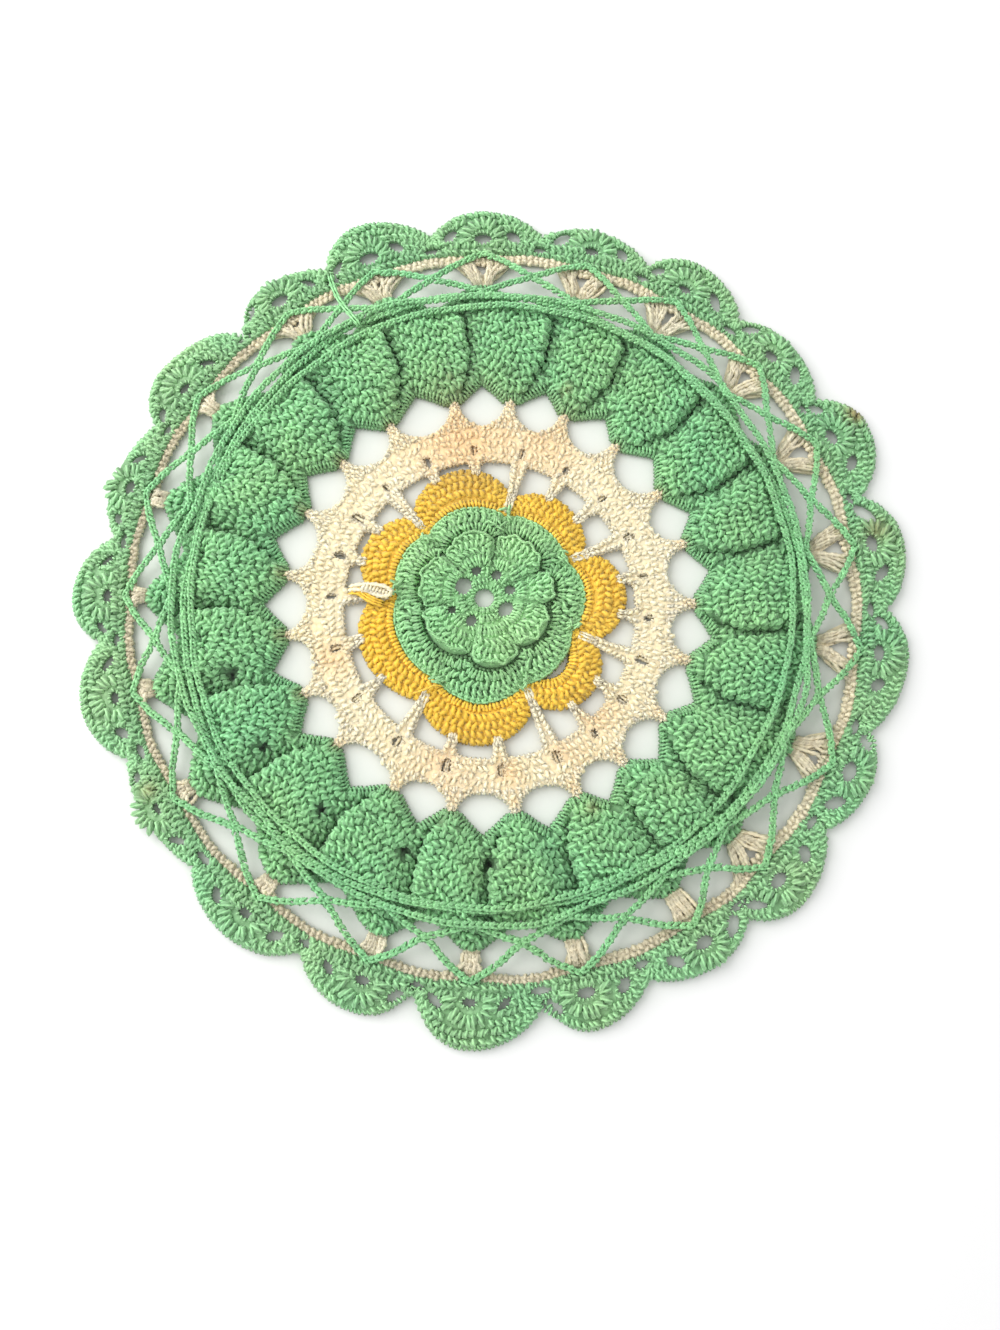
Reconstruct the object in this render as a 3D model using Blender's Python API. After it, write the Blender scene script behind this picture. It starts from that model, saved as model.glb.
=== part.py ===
"""Round crocheted doily, lying flat, face up.

It is worked in rounds of cotton thread, each one onto the round before it: a green rosette,
yellow petals, an ecru lace round, a green round of 21 puffed leaves, ecru fans and arcs, a green
border of 21 shells, and a net of green chains that is drawn in over the leaves.

Each round is a closed body of its own. All but the net are lofted rings: a cross-section, listed
from the inner edge out over the top and back along the underside, is carried round the middle of
the flower and changes with the bearing. Gaps in the lace are real openings.

Lengths are in millimetres, bearings in degrees clockwise from the top of the doily (+Y).
"""
from collections import namedtuple

import bpy
import numpy as np
from mathutils import Vector
from mathutils.geometry import delaunay_2d_cdt

MM = 0.001

# Thread and fabric
CHAIN = 1.4           # width of one crocheted chain
CLEAR = 0.35          # between one round and the next
EDGE_THICK = 1.4      # at the rim of flat work
FLAT_THICK = 2.0      # flat work

# The doily isn't quite round: every edge is longer along one axis.
OVAL = 1.2
OVAL_AXIS = 172.0

# An edge runs round the flower at a radius that grows by its drift on one side.
Edge = namedtuple("Edge", "radius drift toward")
LACE_INNER = Edge(42.2, 3.0, 156.0)     # inner edge of the ecru body
HOLE_FOOT = Edge(52.0, 2.1, 150.0)      # where the large round holes begin
SPIKE_END = Edge(58.8, 1.6, 123.0)      # points of the ecru round
HOLE_CREST = Edge(64.9, 1.4, 137.0)     # where the large round holes end
LEAF_NOTCH = Edge(88.6, 1.4, 70.0)      # outer edge of the leaf round, between its tips
LEAF_TIP = Edge(95.2, 1.1, 262.0)       # outer tips of the leaf round
NET_RING = Edge(87.3, 2.2, 62.0)        # middle of the ring of chains
NET_KNOT = Edge(95.5, 2.6, 45.0)        # where the net's chains cross
SHELL_ROOT = Edge(104.3, 2.5, 69.0)     # inner edge of the shell border

# Seven petals: the bearing of the valley before each, and how far petal and valley reach
Petal = namedtuple("Petal", "valley yellow_valley yellow_reach green_reach")
PETALS = (
    Petal(14.0, 26.7, 35.0, 25.7),
    Petal(66.5, 27.8, 39.4, 28.0),
    Petal(113.0, 29.6, 40.1, 28.2),
    Petal(156.5, 29.8, 41.8, 30.8),
    Petal(210.0, 33.0, 37.6, 27.0),
    Petal(270.0, 27.9, 36.8, 25.8),
    Petal(318.5, 27.6, 38.2, 26.4),
)
LOOSE_PETAL = 2       # the yellow petal that stands away from the rosette
LOOSE_GAP = 2.6

# 21 sections: the bearing and reach of each shell and the bearing of the valley after it, then the
# bearings of the large hole in front of it and of the spike after that hole
Section = namedtuple("Section", "shell reach valley hole spike")
SECTIONS = (
    Section(16.5, 119.0, 25.3, 16.0, 23.0),
    Section(32.0, 121.5, 41.5, 33.0, 40.0),
    Section(49.0, 118.5, 58.5, 49.5, 58.5),
    Section(64.5, 122.5, 74.5, 67.0, 74.5),
    Section(82.0, 120.0, 92.0, 83.0, 92.0),
    Section(98.5, 119.0, 110.0, 100.5, 108.0),
    Section(116.5, 117.5, 125.5, 117.5, 125.0),
    Section(135.0, 119.5, 141.5, 134.0, 141.0),
    Section(148.5, 117.5, 157.5, 149.5, 155.5),
    Section(166.0, 120.0, 172.0, 165.0, 172.0),
    Section(182.0, 121.5, 189.5, 180.5, 188.5),
    Section(197.0, 117.0, 206.5, 196.0, 204.5),
    Section(216.0, 115.0, 226.0, 214.5, 224.0),
    Section(236.0, 110.5, 245.0, 232.5, 241.0),
    Section(254.0, 115.5, 263.0, 250.0, 258.5),
    Section(270.0, 116.0, 279.0, 268.0, 276.5),
    Section(287.5, 112.0, 298.5, 286.0, 296.0),
    Section(305.5, 117.5, 318.0, 305.0, 314.0),
    Section(326.0, 116.5, 335.0, 323.5, 331.5),
    Section(341.5, 122.5, 351.5, 341.5, 351.0),
    Section(359.5, 121.0, 368.5, 359.0, 367.0),
)

# Rosette
EYE_RADIUS = 2.9
EYE_RING = 7.4            # solid ring round the eye
INNER_PETAL_SHARE = 0.70  # reach of an inner petal, as a share of the outer one
GREEN_NICK = 1.8          # depth of the nicks between green petals
RIM_UNDERSIDE = 2.3       # the outer petals lie over the yellow round
YELLOW_UNDER = 3.4        # how far the yellow round reaches in under them
ROSETTE_COLUMNS = 10      # steps across a petal

# Petal round
YELLOW_COLUMNS = 10

# Lace round
VALLEY_BAR = 2.0          # width of the bars into the valleys between the petals
PETAL_BAR = 2.2           # width of the two bars to each petal
BAR_FLARE = 0.5           # a bar's foot is wider than its end by this, each side
SPIKE_WIDTH = 2.2
BAR_SHARES = (0.34, 0.67)  # where the two bars stand, as shares of a petal's width
BAY_STEPS = (0.4, 0.75, 0.95)   # points along a bay, from its middle towards a spike
COLUMN_APART = 0.3        # degrees, so that no sliver lies between a bar and a bay point

# Leaf round
LEAF_COLUMNS = 8
LEAF_ROWS = (0.0, 0.13, 0.36, 0.60, 0.82, 1.0)     # share of the way from inner to outer edge
CROWN_ROWS = (1.6, 3.5, 5.5, 6.0, 4.1, 2.0)        # height along the middle of a leaf
CREASE_ROWS = (1.6, 2.2, 2.6, 2.7, 2.4, 1.8)       # height along the crease between two leaves
LEAF_POINT = 0.74         # share of a hole's half-width at which the leaf's blunt point begins
LEAF_UNEVEN = 0.10        # leaves are puffed more or less by this share

# Fan band
ARC_WIDTH = 2.6
ARC_BOW = 1.0             # the arcs swing out between two shells
FAN_HALF = 6.6            # half the width of a fan at the arc
FAN_FOOT = 1.1            # half its width at the leaf tip

# Shell border
NECK = 4.6                # between two shells
SHELL_COLUMNS = 9
SHELL_ROUND = 0.62        # the lower, the squarer a shell's outline
SHELL_CROWN = 2.7

# Chain net
RING_WIDTH = 5.6
RING_HEIGHT = 5.2         # underside of the ring, where it crosses the leaves
NODE_HEIGHT = 2.1         # underside where a mesh hangs on its shell
NODE_OVERLAP = 1.0        # how far it lies over the shell
RING_STEPS = 4            # ring points between two inner nodes

# Threads, as the eye sees them in daylight (linear colour)
GREEN = (0.20, 0.47, 0.20)
YELLOW = (0.78, 0.52, 0.10)
ECRU = (0.82, 0.68, 0.42)
COTTON_ROUGHNESS = 0.85

TURN = 360.0


def edge_at(edge, bearing):
    """Radius of an edge at a bearing."""
    swell = edge.drift * np.cos(np.radians(bearing - edge.toward))
    return edge.radius + swell + OVAL * np.cos(np.radians(2.0 * (bearing - OVAL_AXIS)))


def column(table, field):
    """One column of a table as an array."""
    return np.array([getattr(row, field) for row in table])


def around(values, wrap=TURN):
    """A table's column with its first entry added again at the end, a turn further on."""
    return np.append(values, values[0] + wrap)


def ring_solid(name, colour, rows):
    """Loft a closed ring. Each row is (bearing, radius, height), arrays with an entry a column."""
    bearings, radii, heights = (np.array(part) for part in zip(*rows))
    steps = bearings.shape[1]
    angle = np.radians(bearings)
    points = np.stack([radii * np.sin(angle), radii * np.cos(angle), heights], axis=-1) * MM
    count = len(rows)
    verts = points.transpose(1, 0, 2).reshape(-1, 3)
    faces = []
    for i in range(steps):
        after = (i + 1) % steps
        for k in range(count):
            over = (k + 1) % count
            faces.append((i * count + k, after * count + k, after * count + over, i * count + over))
    return add_object(name, verts.tolist(), faces, colour)


def add_object(name, verts, faces, colour):
    """A named mesh object in its own cotton."""
    mesh = bpy.data.meshes.new(name)
    mesh.from_pydata(verts, [], faces)
    mesh.validate()
    mesh.shade_smooth()
    mesh.set_sharp_from_angle(angle=np.radians(40.0))
    mesh.materials.append(cotton(name, colour))
    thing = bpy.data.objects.new(name, mesh)
    bpy.context.scene.collection.objects.link(thing)
    return thing


def cotton(name, colour):
    """Matt crochet cotton."""
    material = bpy.data.materials.new(name + "_cotton")
    material.use_nodes = True
    shader = material.node_tree.nodes["Principled BSDF"]
    shader.inputs["Base Color"].default_value = (*colour, 1.0)
    shader.inputs["Roughness"].default_value = COTTON_ROUGHNESS
    shader.inputs["Metallic"].default_value = 0.0
    return material


# ---- Petals ----

VALLEYS = around(column(PETALS, "valley"))


def petal_phase(bearing):
    """Which petal a bearing is in, and how far across it, from 0 to 1."""
    turned = (np.asarray(bearing, dtype=float) - VALLEYS[0]) % TURN + VALLEYS[0]
    index = np.clip(np.searchsorted(VALLEYS, turned, side="right") - 1, 0, len(PETALS) - 1)
    return index, (turned - VALLEYS[index]) / (VALLEYS[index + 1] - VALLEYS[index])


def yellow_outline(bearing):
    """Outer edge of the yellow petals."""
    index, phase = petal_phase(bearing)
    valley = around(column(PETALS, "yellow_valley"), 0.0)
    floor = valley[index] * (1.0 - phase) + valley[index + 1] * phase
    bulge = np.sin(np.pi * phase) ** 0.5
    return floor + (column(PETALS, "yellow_reach")[index] - floor) * bulge


def green_outline(bearing):
    """Outer edge of the rosette: nearly round, with a nick at each valley."""
    phase = petal_phase(bearing)[1]
    middles = (VALLEYS[:-1] + VALLEYS[1:]) / 2.0
    reach = np.interp(bearing, middles, column(PETALS, "green_reach"), period=TURN)
    return reach - GREEN_NICK * (1.0 - np.sin(np.pi * phase) ** 0.6)


def petal_columns(steps):
    """Bearings with the same number of steps across every petal."""
    return np.interp(np.arange(len(PETALS) * steps) / steps, np.arange(len(PETALS) + 1), VALLEYS)


def build_rosette():
    bearing = petal_columns(ROSETTE_COLUMNS)
    phase = petal_phase(bearing)[1]
    arch = np.sin(np.pi * phase) ** 0.5
    outer = green_outline(bearing)
    inner = outer * INNER_PETAL_SHARE - GREEN_NICK * (1.0 - arch)
    flat = np.ones_like(bearing)
    seat = outer - YELLOW_UNDER - CLEAR
    rows = [
        (bearing, flat * EYE_RADIUS, flat * EDGE_THICK),
        (bearing, flat * EYE_RING, flat * 2.6),
        (bearing, inner * 0.66, 3.3 + 1.5 * arch),
        (bearing, inner * 0.92, 3.6 + 1.8 * arch),
        (bearing, inner, 3.2 + 1.3 * arch),
        (bearing, inner + 0.5, 2.9 + 0.3 * arch),
        (bearing, outer - 3.0, 3.1 + 0.9 * arch),
        (bearing, outer, flat * (RIM_UNDERSIDE + 0.6)),
        (bearing, outer, flat * RIM_UNDERSIDE),
        (bearing, seat, flat * RIM_UNDERSIDE),
        (bearing, seat - CLEAR, flat * 0.0),
        (bearing, flat * EYE_RADIUS, flat * 0.0),
    ]
    return ring_solid("rosette", GREEN, rows)


def build_petal_round():
    bearing = petal_columns(YELLOW_COLUMNS)
    index, phase = petal_phase(bearing)
    arch = np.sin(np.pi * phase)
    green = green_outline(bearing)
    outline = yellow_outline(bearing)
    loose = (index == LOOSE_PETAL) * arch
    inner = green - YELLOW_UNDER + loose * (YELLOW_UNDER + LOOSE_GAP)
    shoulder = np.maximum(green + 0.4, inner + 0.5)
    flat = np.ones_like(bearing)
    rows = [
        (bearing, inner, flat * (FLAT_THICK - 0.2)),
        (bearing, shoulder, flat * (FLAT_THICK - 0.1)),
        (bearing, (shoulder + outline) / 2.0, 2.2 + 0.7 * arch),
        (bearing, outline, flat * EDGE_THICK),
        (bearing, outline, flat * 0.0),
        (bearing, inner, flat * 0.0),
    ]
    return ring_solid("petal_round", YELLOW, rows)


# ---- Lace round ----

def spike_outline(bearing):
    """Outer edge of the ecru round: points with round bays between them."""
    holes = around(column(SECTIONS, "hole"))
    turned = (np.asarray(bearing, dtype=float) - holes[0]) % TURN + holes[0]
    k = np.clip(np.searchsorted(holes, turned, side="right") - 1, 0, len(SECTIONS) - 1)
    spike = column(SECTIONS, "spike")[k]
    half_point = np.degrees(SPIKE_WIDTH / 2.0 / SPIKE_END.radius)
    centre = np.where(turned < spike, holes[k], holes[k + 1])
    across = np.abs(turned - centre) / (np.abs(spike - centre) - half_point)
    bay = 1.0 - np.sqrt(np.clip(1.0 - across ** 2, 0.0, 1.0))
    foot = edge_at(HOLE_FOOT, turned)
    return foot + (edge_at(SPIKE_END, turned) - foot) * bay


def lace_bars():
    """Bearing, half-width in degrees and inner end of each bar between the petals and the body."""
    bars = []
    for k, petal in enumerate(PETALS):
        span = VALLEYS[k + 1] - VALLEYS[k]
        valley_half = np.degrees(VALLEY_BAR / 2.0 / (petal.yellow_valley + 4.0))
        petal_half = np.degrees(PETAL_BAR / 2.0 / petal.yellow_reach)
        for share, half in ((0.0, valley_half), (BAR_SHARES[0], petal_half), (BAR_SHARES[1], petal_half)):
            centre = petal.valley + span * share
            width = np.linspace(centre - half - 0.3, centre + half + 0.3, 9)
            bars.append((centre, half, np.max(yellow_outline(width)) + CLEAR))
    return bars


def off_by(bearing, other):
    """Degrees between two bearings, whichever way round is shorter."""
    return np.abs((bearing - other + TURN / 2.0) % TURN - TURN / 2.0)


def lace_columns(bars):
    """Bearings at the corners of every bar and spike, and across every bay."""
    flare = np.degrees(BAR_FLARE / LACE_INNER.radius)
    columns = []
    for centre, half, _ in bars:
        columns += [centre - half - flare, centre - half, centre + half, centre + half + flare]
    corners = np.array(columns)
    spikes = column(SECTIONS, "spike")
    half_point = np.degrees(SPIKE_WIDTH / 2.0 / SPIKE_END.radius)
    for k, hole in enumerate(column(SECTIONS, "hole")):
        before = spikes[k - 1] - (TURN if k == 0 else 0.0)
        bay = [hole + step * (spikes[k] - hole - half_point) for step in BAY_STEPS]
        bay += [hole - step * (hole - before - half_point) for step in BAY_STEPS]
        for spot in [hole, *bay, spikes[k] - half_point, spikes[k] + half_point]:
            if off_by(spot, corners).min() > COLUMN_APART:
                columns.append(spot)
    return np.sort(np.array(columns) % TURN)


def build_lace_round():
    bars = lace_bars()
    bearing = lace_columns(bars)
    body = np.maximum(edge_at(LACE_INNER, bearing), yellow_outline(bearing) + 2.0 * CLEAR)
    inner = body
    for centre, half, end in bars:
        inner = np.where(off_by(bearing, centre) < half + 0.01, np.minimum(end, inner), inner)
    outer = spike_outline(bearing)
    flat = np.ones_like(bearing)
    rows = [
        (bearing, inner, flat * EDGE_THICK),
        (bearing, body + 0.8, flat * FLAT_THICK),
        (bearing, edge_at(HOLE_FOOT, bearing) - 1.0, flat * (FLAT_THICK + 0.2)),
        (bearing, outer, flat * EDGE_THICK),
        (bearing, outer, flat * 0.0),
        (bearing, inner, flat * 0.0),
    ]
    return ring_solid("lace_round", ECRU, rows)


# ---- Leaf round ----

def leaf_tracks(steps):
    """Bearings along the inner and the outer edge, and how far each column is across its leaf."""
    count = len(SECTIONS)
    across = np.arange(count * steps) / steps
    holes = around(column(SECTIONS, "hole"))
    shells = around(column(SECTIONS, "shell"))
    stops = np.arange(2 * count + 1) / 2.0
    inner_stops = np.empty(2 * count + 1)
    inner_stops[0::2] = holes
    inner_stops[1::2] = column(SECTIONS, "spike")
    outer_stops = np.empty(2 * count + 1)
    outer_stops[0::2] = shells
    outer_stops[1::2] = (shells[:-1] + shells[1:]) / 2.0
    return np.interp(across, stops, inner_stops), np.interp(across, stops, outer_stops), across


def leaf_outer(bearing, phase):
    """Outer edge of the leaf round: a tip at each crease, a notch behind each leaf."""
    tip = edge_at(LEAF_TIP, bearing)
    notch = edge_at(LEAF_NOTCH, bearing)
    side = np.abs(phase - 0.5) * 2.0
    return notch + (tip - notch) * np.clip((side - 0.1) / 0.75, 0.0, 1.0)


def build_leaf_round():
    inner_bearing, outer_bearing, across = leaf_tracks(LEAF_COLUMNS)
    phase = across % 1.0
    leaf = across.astype(int)
    puff = 1.0 + LEAF_UNEVEN * np.random.default_rng(21).uniform(-1.0, 0.4, len(SECTIONS))[leaf]
    crest = edge_at(HOLE_CREST, inner_bearing)
    point = edge_at(SPIKE_END, inner_bearing) + CLEAR
    toward_point = np.clip((1.0 - np.abs(phase - 0.5) * 2.0) / LEAF_POINT, 0.0, 1.0)
    inner = crest + (point - crest) * toward_point
    outer = leaf_outer(outer_bearing, phase)
    arch = np.sin(np.pi * phase) ** 0.6
    rows = []
    for share, crown, crease in zip(LEAF_ROWS, CROWN_ROWS, CREASE_ROWS):
        bearing = inner_bearing + (outer_bearing - inner_bearing) * share
        radius = inner + (outer - inner) * share
        rows.append((bearing, radius, crease + (crown * puff - crease) * arch))
    flat = np.zeros_like(inner)
    rows.append((outer_bearing, outer, flat))
    rows.append((inner_bearing, inner, flat))
    return ring_solid("leaf_round", GREEN, rows)


# ---- Fan band and shell border ----

def shell_root(bearing):
    """Inner edge of the shell border, which swings out between two shells."""
    shells = around(column(SECTIONS, "shell"))
    turned = (np.asarray(bearing, dtype=float) - shells[0]) % TURN + shells[0]
    k = np.clip(np.searchsorted(shells, turned, side="right") - 1, 0, len(SECTIONS) - 1)
    phase = (turned - shells[k]) / (shells[k + 1] - shells[k])
    return edge_at(SHELL_ROOT, turned) + ARC_BOW * np.sin(np.pi * phase) ** 2


def build_fan_band():
    shells = column(SECTIONS, "shell")
    ahead = around(shells)
    bearings, inner = [], []
    for k, shell in enumerate(shells):
        tip = edge_at(LEAF_TIP, shell) + CLEAR
        foot = np.degrees(FAN_FOOT / LEAF_TIP.radius)
        half = np.degrees(FAN_HALF / SHELL_ROOT.radius)
        middle = (shell + ahead[k + 1]) / 2.0
        for spot, radius in (
            (shell - half, None),
            (shell - half * 0.8, tip + 4.2),
            (shell - foot, tip),
            (shell + foot, tip),
            (shell + half * 0.8, tip + 4.2),
            (shell + half, None),
            (middle, None),
        ):
            bearings.append(spot)
            arc = float(shell_root(spot)) - CLEAR - ARC_WIDTH
            inner.append(arc if radius is None else min(radius, arc))
    bearing = np.array(bearings)
    inner = np.array(inner)
    outer = shell_root(bearing) - CLEAR
    flat = np.ones_like(bearing)
    rows = [
        (bearing, inner, flat * EDGE_THICK),
        (bearing, outer, flat * EDGE_THICK),
        (bearing, outer, flat * 0.0),
        (bearing, inner, flat * 0.0),
    ]
    return ring_solid("fan_band", ECRU, rows)


def build_scallop_border():
    valleys = column(SECTIONS, "valley")
    count = len(SECTIONS)
    stops = np.empty(2 * count + 1)
    stops[0::2] = np.append(valleys[-1] - TURN, valleys)
    stops[1::2] = column(SECTIONS, "shell")
    across = np.arange(count * SHELL_COLUMNS) / SHELL_COLUMNS
    bearing = np.interp(across, np.arange(2 * count + 1) / 2.0, stops)
    phase = across % 1.0
    root = shell_root(bearing)
    valley = edge_at(SHELL_ROOT, bearing) + ARC_BOW + NECK
    reach = column(SECTIONS, "reach")[across.astype(int)]
    arch = np.sin(np.pi * phase)
    outer = valley + (reach - valley) * arch ** SHELL_ROUND
    flat = np.ones_like(bearing)
    rows = [
        (bearing, root, flat * EDGE_THICK),
        (bearing, root + (outer - root) * 0.45, FLAT_THICK + (SHELL_CROWN - FLAT_THICK) * arch),
        (bearing, outer, flat * EDGE_THICK),
        (bearing, outer, flat * 0.0),
        (bearing, root, flat * 0.0),
    ]
    return ring_solid("scallop_border", GREEN, rows)


# ---- Chain net ----

def spot(bearing, radius):
    """Plan position of a bearing and a radius."""
    angle = np.radians(bearing)
    return np.array([radius * np.sin(angle), radius * np.cos(angle)])


def parallel(loop, distance):
    """A closed clockwise outline moved outwards by a distance, or inwards by a negative one."""
    moved = []
    for before, here, after in zip(np.roll(loop, 1, 0), loop, np.roll(loop, -1, 0)):
        came = (here - before) / np.linalg.norm(here - before)
        goes = (after - here) / np.linalg.norm(after - here)
        outward = np.array([-came[1] - goes[1], came[0] + goes[0]])
        outward /= np.linalg.norm(outward)
        lean = max(np.dot(outward, np.array([-came[1], came[0]])), 0.35)
        moved.append(here + outward * distance / lean)
    return np.array(moved)


def inside(point, loop):
    """Whether a plan point is inside a closed outline."""
    x, y = point
    odd = False
    for (x0, y0), (x1, y1) in zip(loop, np.roll(loop, -1, 0)):
        if (y0 > y) != (y1 > y) and x < x0 + (y - y0) * (x1 - x0) / (y1 - y0):
            odd = not odd
    return odd


def net_loops():
    """The net's outline, its bore and its open meshes, as closed clockwise plan outlines."""
    count = len(SECTIONS)
    shells = column(SECTIONS, "shell")
    knots = (shells + around(shells)[1:]) / 2.0
    ring_edge = RING_WIDTH / 2.0
    hangs = [spot(b, edge_at(SHELL_ROOT, b) + NODE_OVERLAP - CHAIN / 2.0) for b in shells]
    crossings = [spot(b, edge_at(NET_KNOT, b)) for b in knots]
    feet = [spot(b, edge_at(NET_RING, b) + ring_edge) for b in shells]
    outline, meshes = [], []
    for k in range(count):
        after = (k + 1) % count
        outline += [hangs[k], (hangs[k] + crossings[k]) / 2.0]
        outline += [crossings[k], (crossings[k] + hangs[after]) / 2.0]
        meshes.append([hangs[k], crossings[k], feet[k], crossings[k - 1]])
        along = np.linspace(around(shells)[k + 1], shells[k], RING_STEPS + 1)[1:-1]
        base = [spot(b, edge_at(NET_RING, b) + ring_edge - CHAIN / 2.0) for b in along]
        meshes.append([crossings[k], feet[after], *base, feet[k]])
    ring_bearings = np.linspace(0.0, TURN, count * RING_STEPS, endpoint=False)
    bore = np.array([spot(b, edge_at(NET_RING, b) - ring_edge) for b in ring_bearings])
    outline = parallel(np.array(outline), CHAIN / 2.0)
    return outline, [bore] + [parallel(np.array(mesh), -CHAIN / 2.0) for mesh in meshes]


def build_chain_net():
    outline, openings = net_loops()
    points, edges = [], []
    for loop in [outline, *openings]:
        start = len(points)
        points += [Vector(p) for p in loop]
        edges += [(start + i, start + (i + 1) % len(loop)) for i in range(len(loop))]
    plan, _, triangles, *_ = delaunay_2d_cdt(points, edges, [], 1, 1e-5)
    plan = [np.array(p) for p in plan]
    kept = []
    for triangle in triangles:
        middle = sum(plan[i] for i in triangle) / 3.0
        if not any(inside(middle, opening) for opening in openings):
            kept.append(tuple(triangle))
    return close_web("chain_net", GREEN, plan, kept)


def net_height(point):
    """Underside of the net: high over the leaves, low where it hangs on the shells."""
    radius = float(np.hypot(*point))
    bearing = float(np.degrees(np.arctan2(point[0], point[1]))) % TURN
    low = edge_at(NET_RING, bearing) + RING_WIDTH / 2.0
    high = edge_at(SHELL_ROOT, bearing) + NODE_OVERLAP
    fall = np.clip((radius - low) / (high - low), 0.0, 1.0)
    return RING_HEIGHT + (NODE_HEIGHT - RING_HEIGHT) * fall


def close_web(name, colour, plan, triangles):
    """Give a flat web of triangles the thickness of a chain."""
    count = len(plan)
    verts = []
    for lift in (CHAIN, 0.0):
        verts += [(p[0] * MM, p[1] * MM, (net_height(p) + lift) * MM) for p in plan]
    faces = []
    sides = {}
    for a, b, c in triangles:
        faces.append((a, b, c))
        faces.append((c + count, b + count, a + count))
        for start, end in ((a, b), (b, c), (c, a)):
            sides[(start, end)] = True
    for start, end in sides:
        if (end, start) not in sides:
            faces.append((start, start + count, end + count, end))
    return add_object(name, verts, faces, colour)


# ---- The doily ----

def main():
    for thing in list(bpy.data.objects):
        bpy.data.objects.remove(thing, do_unlink=True)
    rounds = [
        build_rosette(),
        build_petal_round(),
        build_lace_round(),
        build_leaf_round(),
        build_fan_band(),
        build_scallop_border(),
        build_chain_net(),
    ]
    # The origin is the middle of the doily's box, on the surface that it lies on.
    corners = np.array([vert.co[:2] for thing in rounds for vert in thing.data.vertices])
    box_middle = (corners.min(axis=0) + corners.max(axis=0)) / 2.0
    middle = bpy.data.objects.new("flower_middle", None)
    middle.location = (-box_middle[0], -box_middle[1], 0.0)
    bpy.context.scene.collection.objects.link(middle)
    for thing in rounds:
        thing.parent = middle
    bpy.context.view_layer.update()


main()
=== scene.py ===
"""The looks of a round crocheted doily: every stitch that shows is a loop of thread.

Lengths are in millimetres until a mesh is made, and in metres from the floor on. Bearings are in
degrees clockwise from the top of the doily, and radii are measured from the middle of its flower.
A round's cloth is the ground of its stitches, and its stitches lie on that as separate threads.
"""
from collections import namedtuple

import bpy
import numpy as np
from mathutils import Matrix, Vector
from mathutils.geometry import delaunay_2d_cdt


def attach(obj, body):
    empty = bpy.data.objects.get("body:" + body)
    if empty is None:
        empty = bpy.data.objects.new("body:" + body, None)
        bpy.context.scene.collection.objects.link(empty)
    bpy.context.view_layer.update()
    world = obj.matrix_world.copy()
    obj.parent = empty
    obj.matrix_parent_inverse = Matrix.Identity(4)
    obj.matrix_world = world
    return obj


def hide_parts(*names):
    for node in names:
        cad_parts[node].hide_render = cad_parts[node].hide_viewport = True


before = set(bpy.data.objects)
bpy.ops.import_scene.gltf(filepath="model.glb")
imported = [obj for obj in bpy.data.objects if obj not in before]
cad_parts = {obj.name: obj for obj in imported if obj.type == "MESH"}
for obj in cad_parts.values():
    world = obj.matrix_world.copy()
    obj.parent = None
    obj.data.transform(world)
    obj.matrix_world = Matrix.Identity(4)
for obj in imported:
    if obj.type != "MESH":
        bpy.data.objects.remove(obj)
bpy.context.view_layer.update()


# ---- Rosette ----
# The flower in the middle: seven raised petals over seven wider ones, round an open eye. It is
# crocheted in green cotton, from the ring of chains round the eye outwards, in dense rows of posts.

MM = 0.001
TURN = 360.0
FLOWER = (-1.576, 0.234)     # the flower isn't quite in the middle of the doily's box
hand = np.random.default_rng(7)         # the unevenness of hand work

# The doily isn't quite round: every edge is longer along one axis, and drifts to one side.
OVAL = 1.2
OVAL_AXIS = 172.0
Edge = namedtuple("Edge", "radius drift toward")

# Seven petals: the bearing of the valley before each, and how far petal and valley reach
Petal = namedtuple("Petal", "valley yellow_valley yellow_reach green_reach")
PETALS = (
    Petal(14.0, 26.7, 35.0, 25.7),
    Petal(66.5, 27.8, 39.4, 28.0),
    Petal(113.0, 29.6, 40.1, 28.2),
    Petal(156.5, 29.8, 41.8, 30.8),
    Petal(210.0, 33.0, 37.6, 27.0),
    Petal(270.0, 27.9, 36.8, 25.8),
    Petal(318.5, 27.6, 38.2, 26.4),
)
GREEN_NICK = 2.4             # depth of the valleys between the wide green petals
EYE = 3.2                    # radius of the open eye

# The raised petals: the bearing of the valley before each, and its reach
Raised = namedtuple("Raised", "valley reach")
RAISED = (
    Raised(11.0, 19.3), Raised(66.0, 19.6), Raised(98.0, 19.4), Raised(148.0, 20.6),
    Raised(193.0, 19.2), Raised(257.0, 18.6), Raised(315.0, 18.4),
)
RAISED_NICK = 3.4            # depth of the valleys between them
GAP_RING = 8.6               # the posts of the raised petals begin here

# The gaps round the eye, between the chains that the petals are worked on
Gap = namedtuple("Gap", "bearing radius wide deep")      # half the width and half the depth
ROSETTE_GAPS = (
    Gap(341, 7.6, 1.9, 1.6), Gap(28, 6.8, 1.8, 1.8), Gap(76, 7.2, 1.8, 1.9), Gap(124, 7.0, 2.8, 2.4),
    Gap(208, 8.2, 1.8, 2.2), Gap(245, 10.2, 1.6, 1.6), Gap(296, 6.7, 3.0, 2.6),
)
EYE_MIDDLE = (203.0, 0.6)    # bearing and radius
WITHIN = 0.985               # a cloth ends a little within the stitches of its edge

FLOWER_GREEN = (0.385, 0.83, 0.38)   # the flower has faded a little more than the rest
CHAIN_PITCH = 1.9            # from one link of a chain to the next
PLY_TURN = 3.4               # the shortest length in which a thread's plies make a full turn
PLY_RIDGE = 0.20             # how far a ply stands out, as a share of the thread's radius
TABLE_CLEAR = 0.02           # the lowest threads lie this far above the table
CLOTH_CLEAR = 0.05           # and the cloths under them this far


def edge_at(edge, bearing):
    """Radius of an edge at a bearing."""
    swell = edge.drift * np.cos(np.radians(bearing - edge.toward))
    return edge.radius + swell + OVAL * np.cos(np.radians(2.0 * (bearing - OVAL_AXIS)))


def column(table, field):
    """One column of a table as an array."""
    return np.array([getattr(row, field) for row in table])


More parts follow.
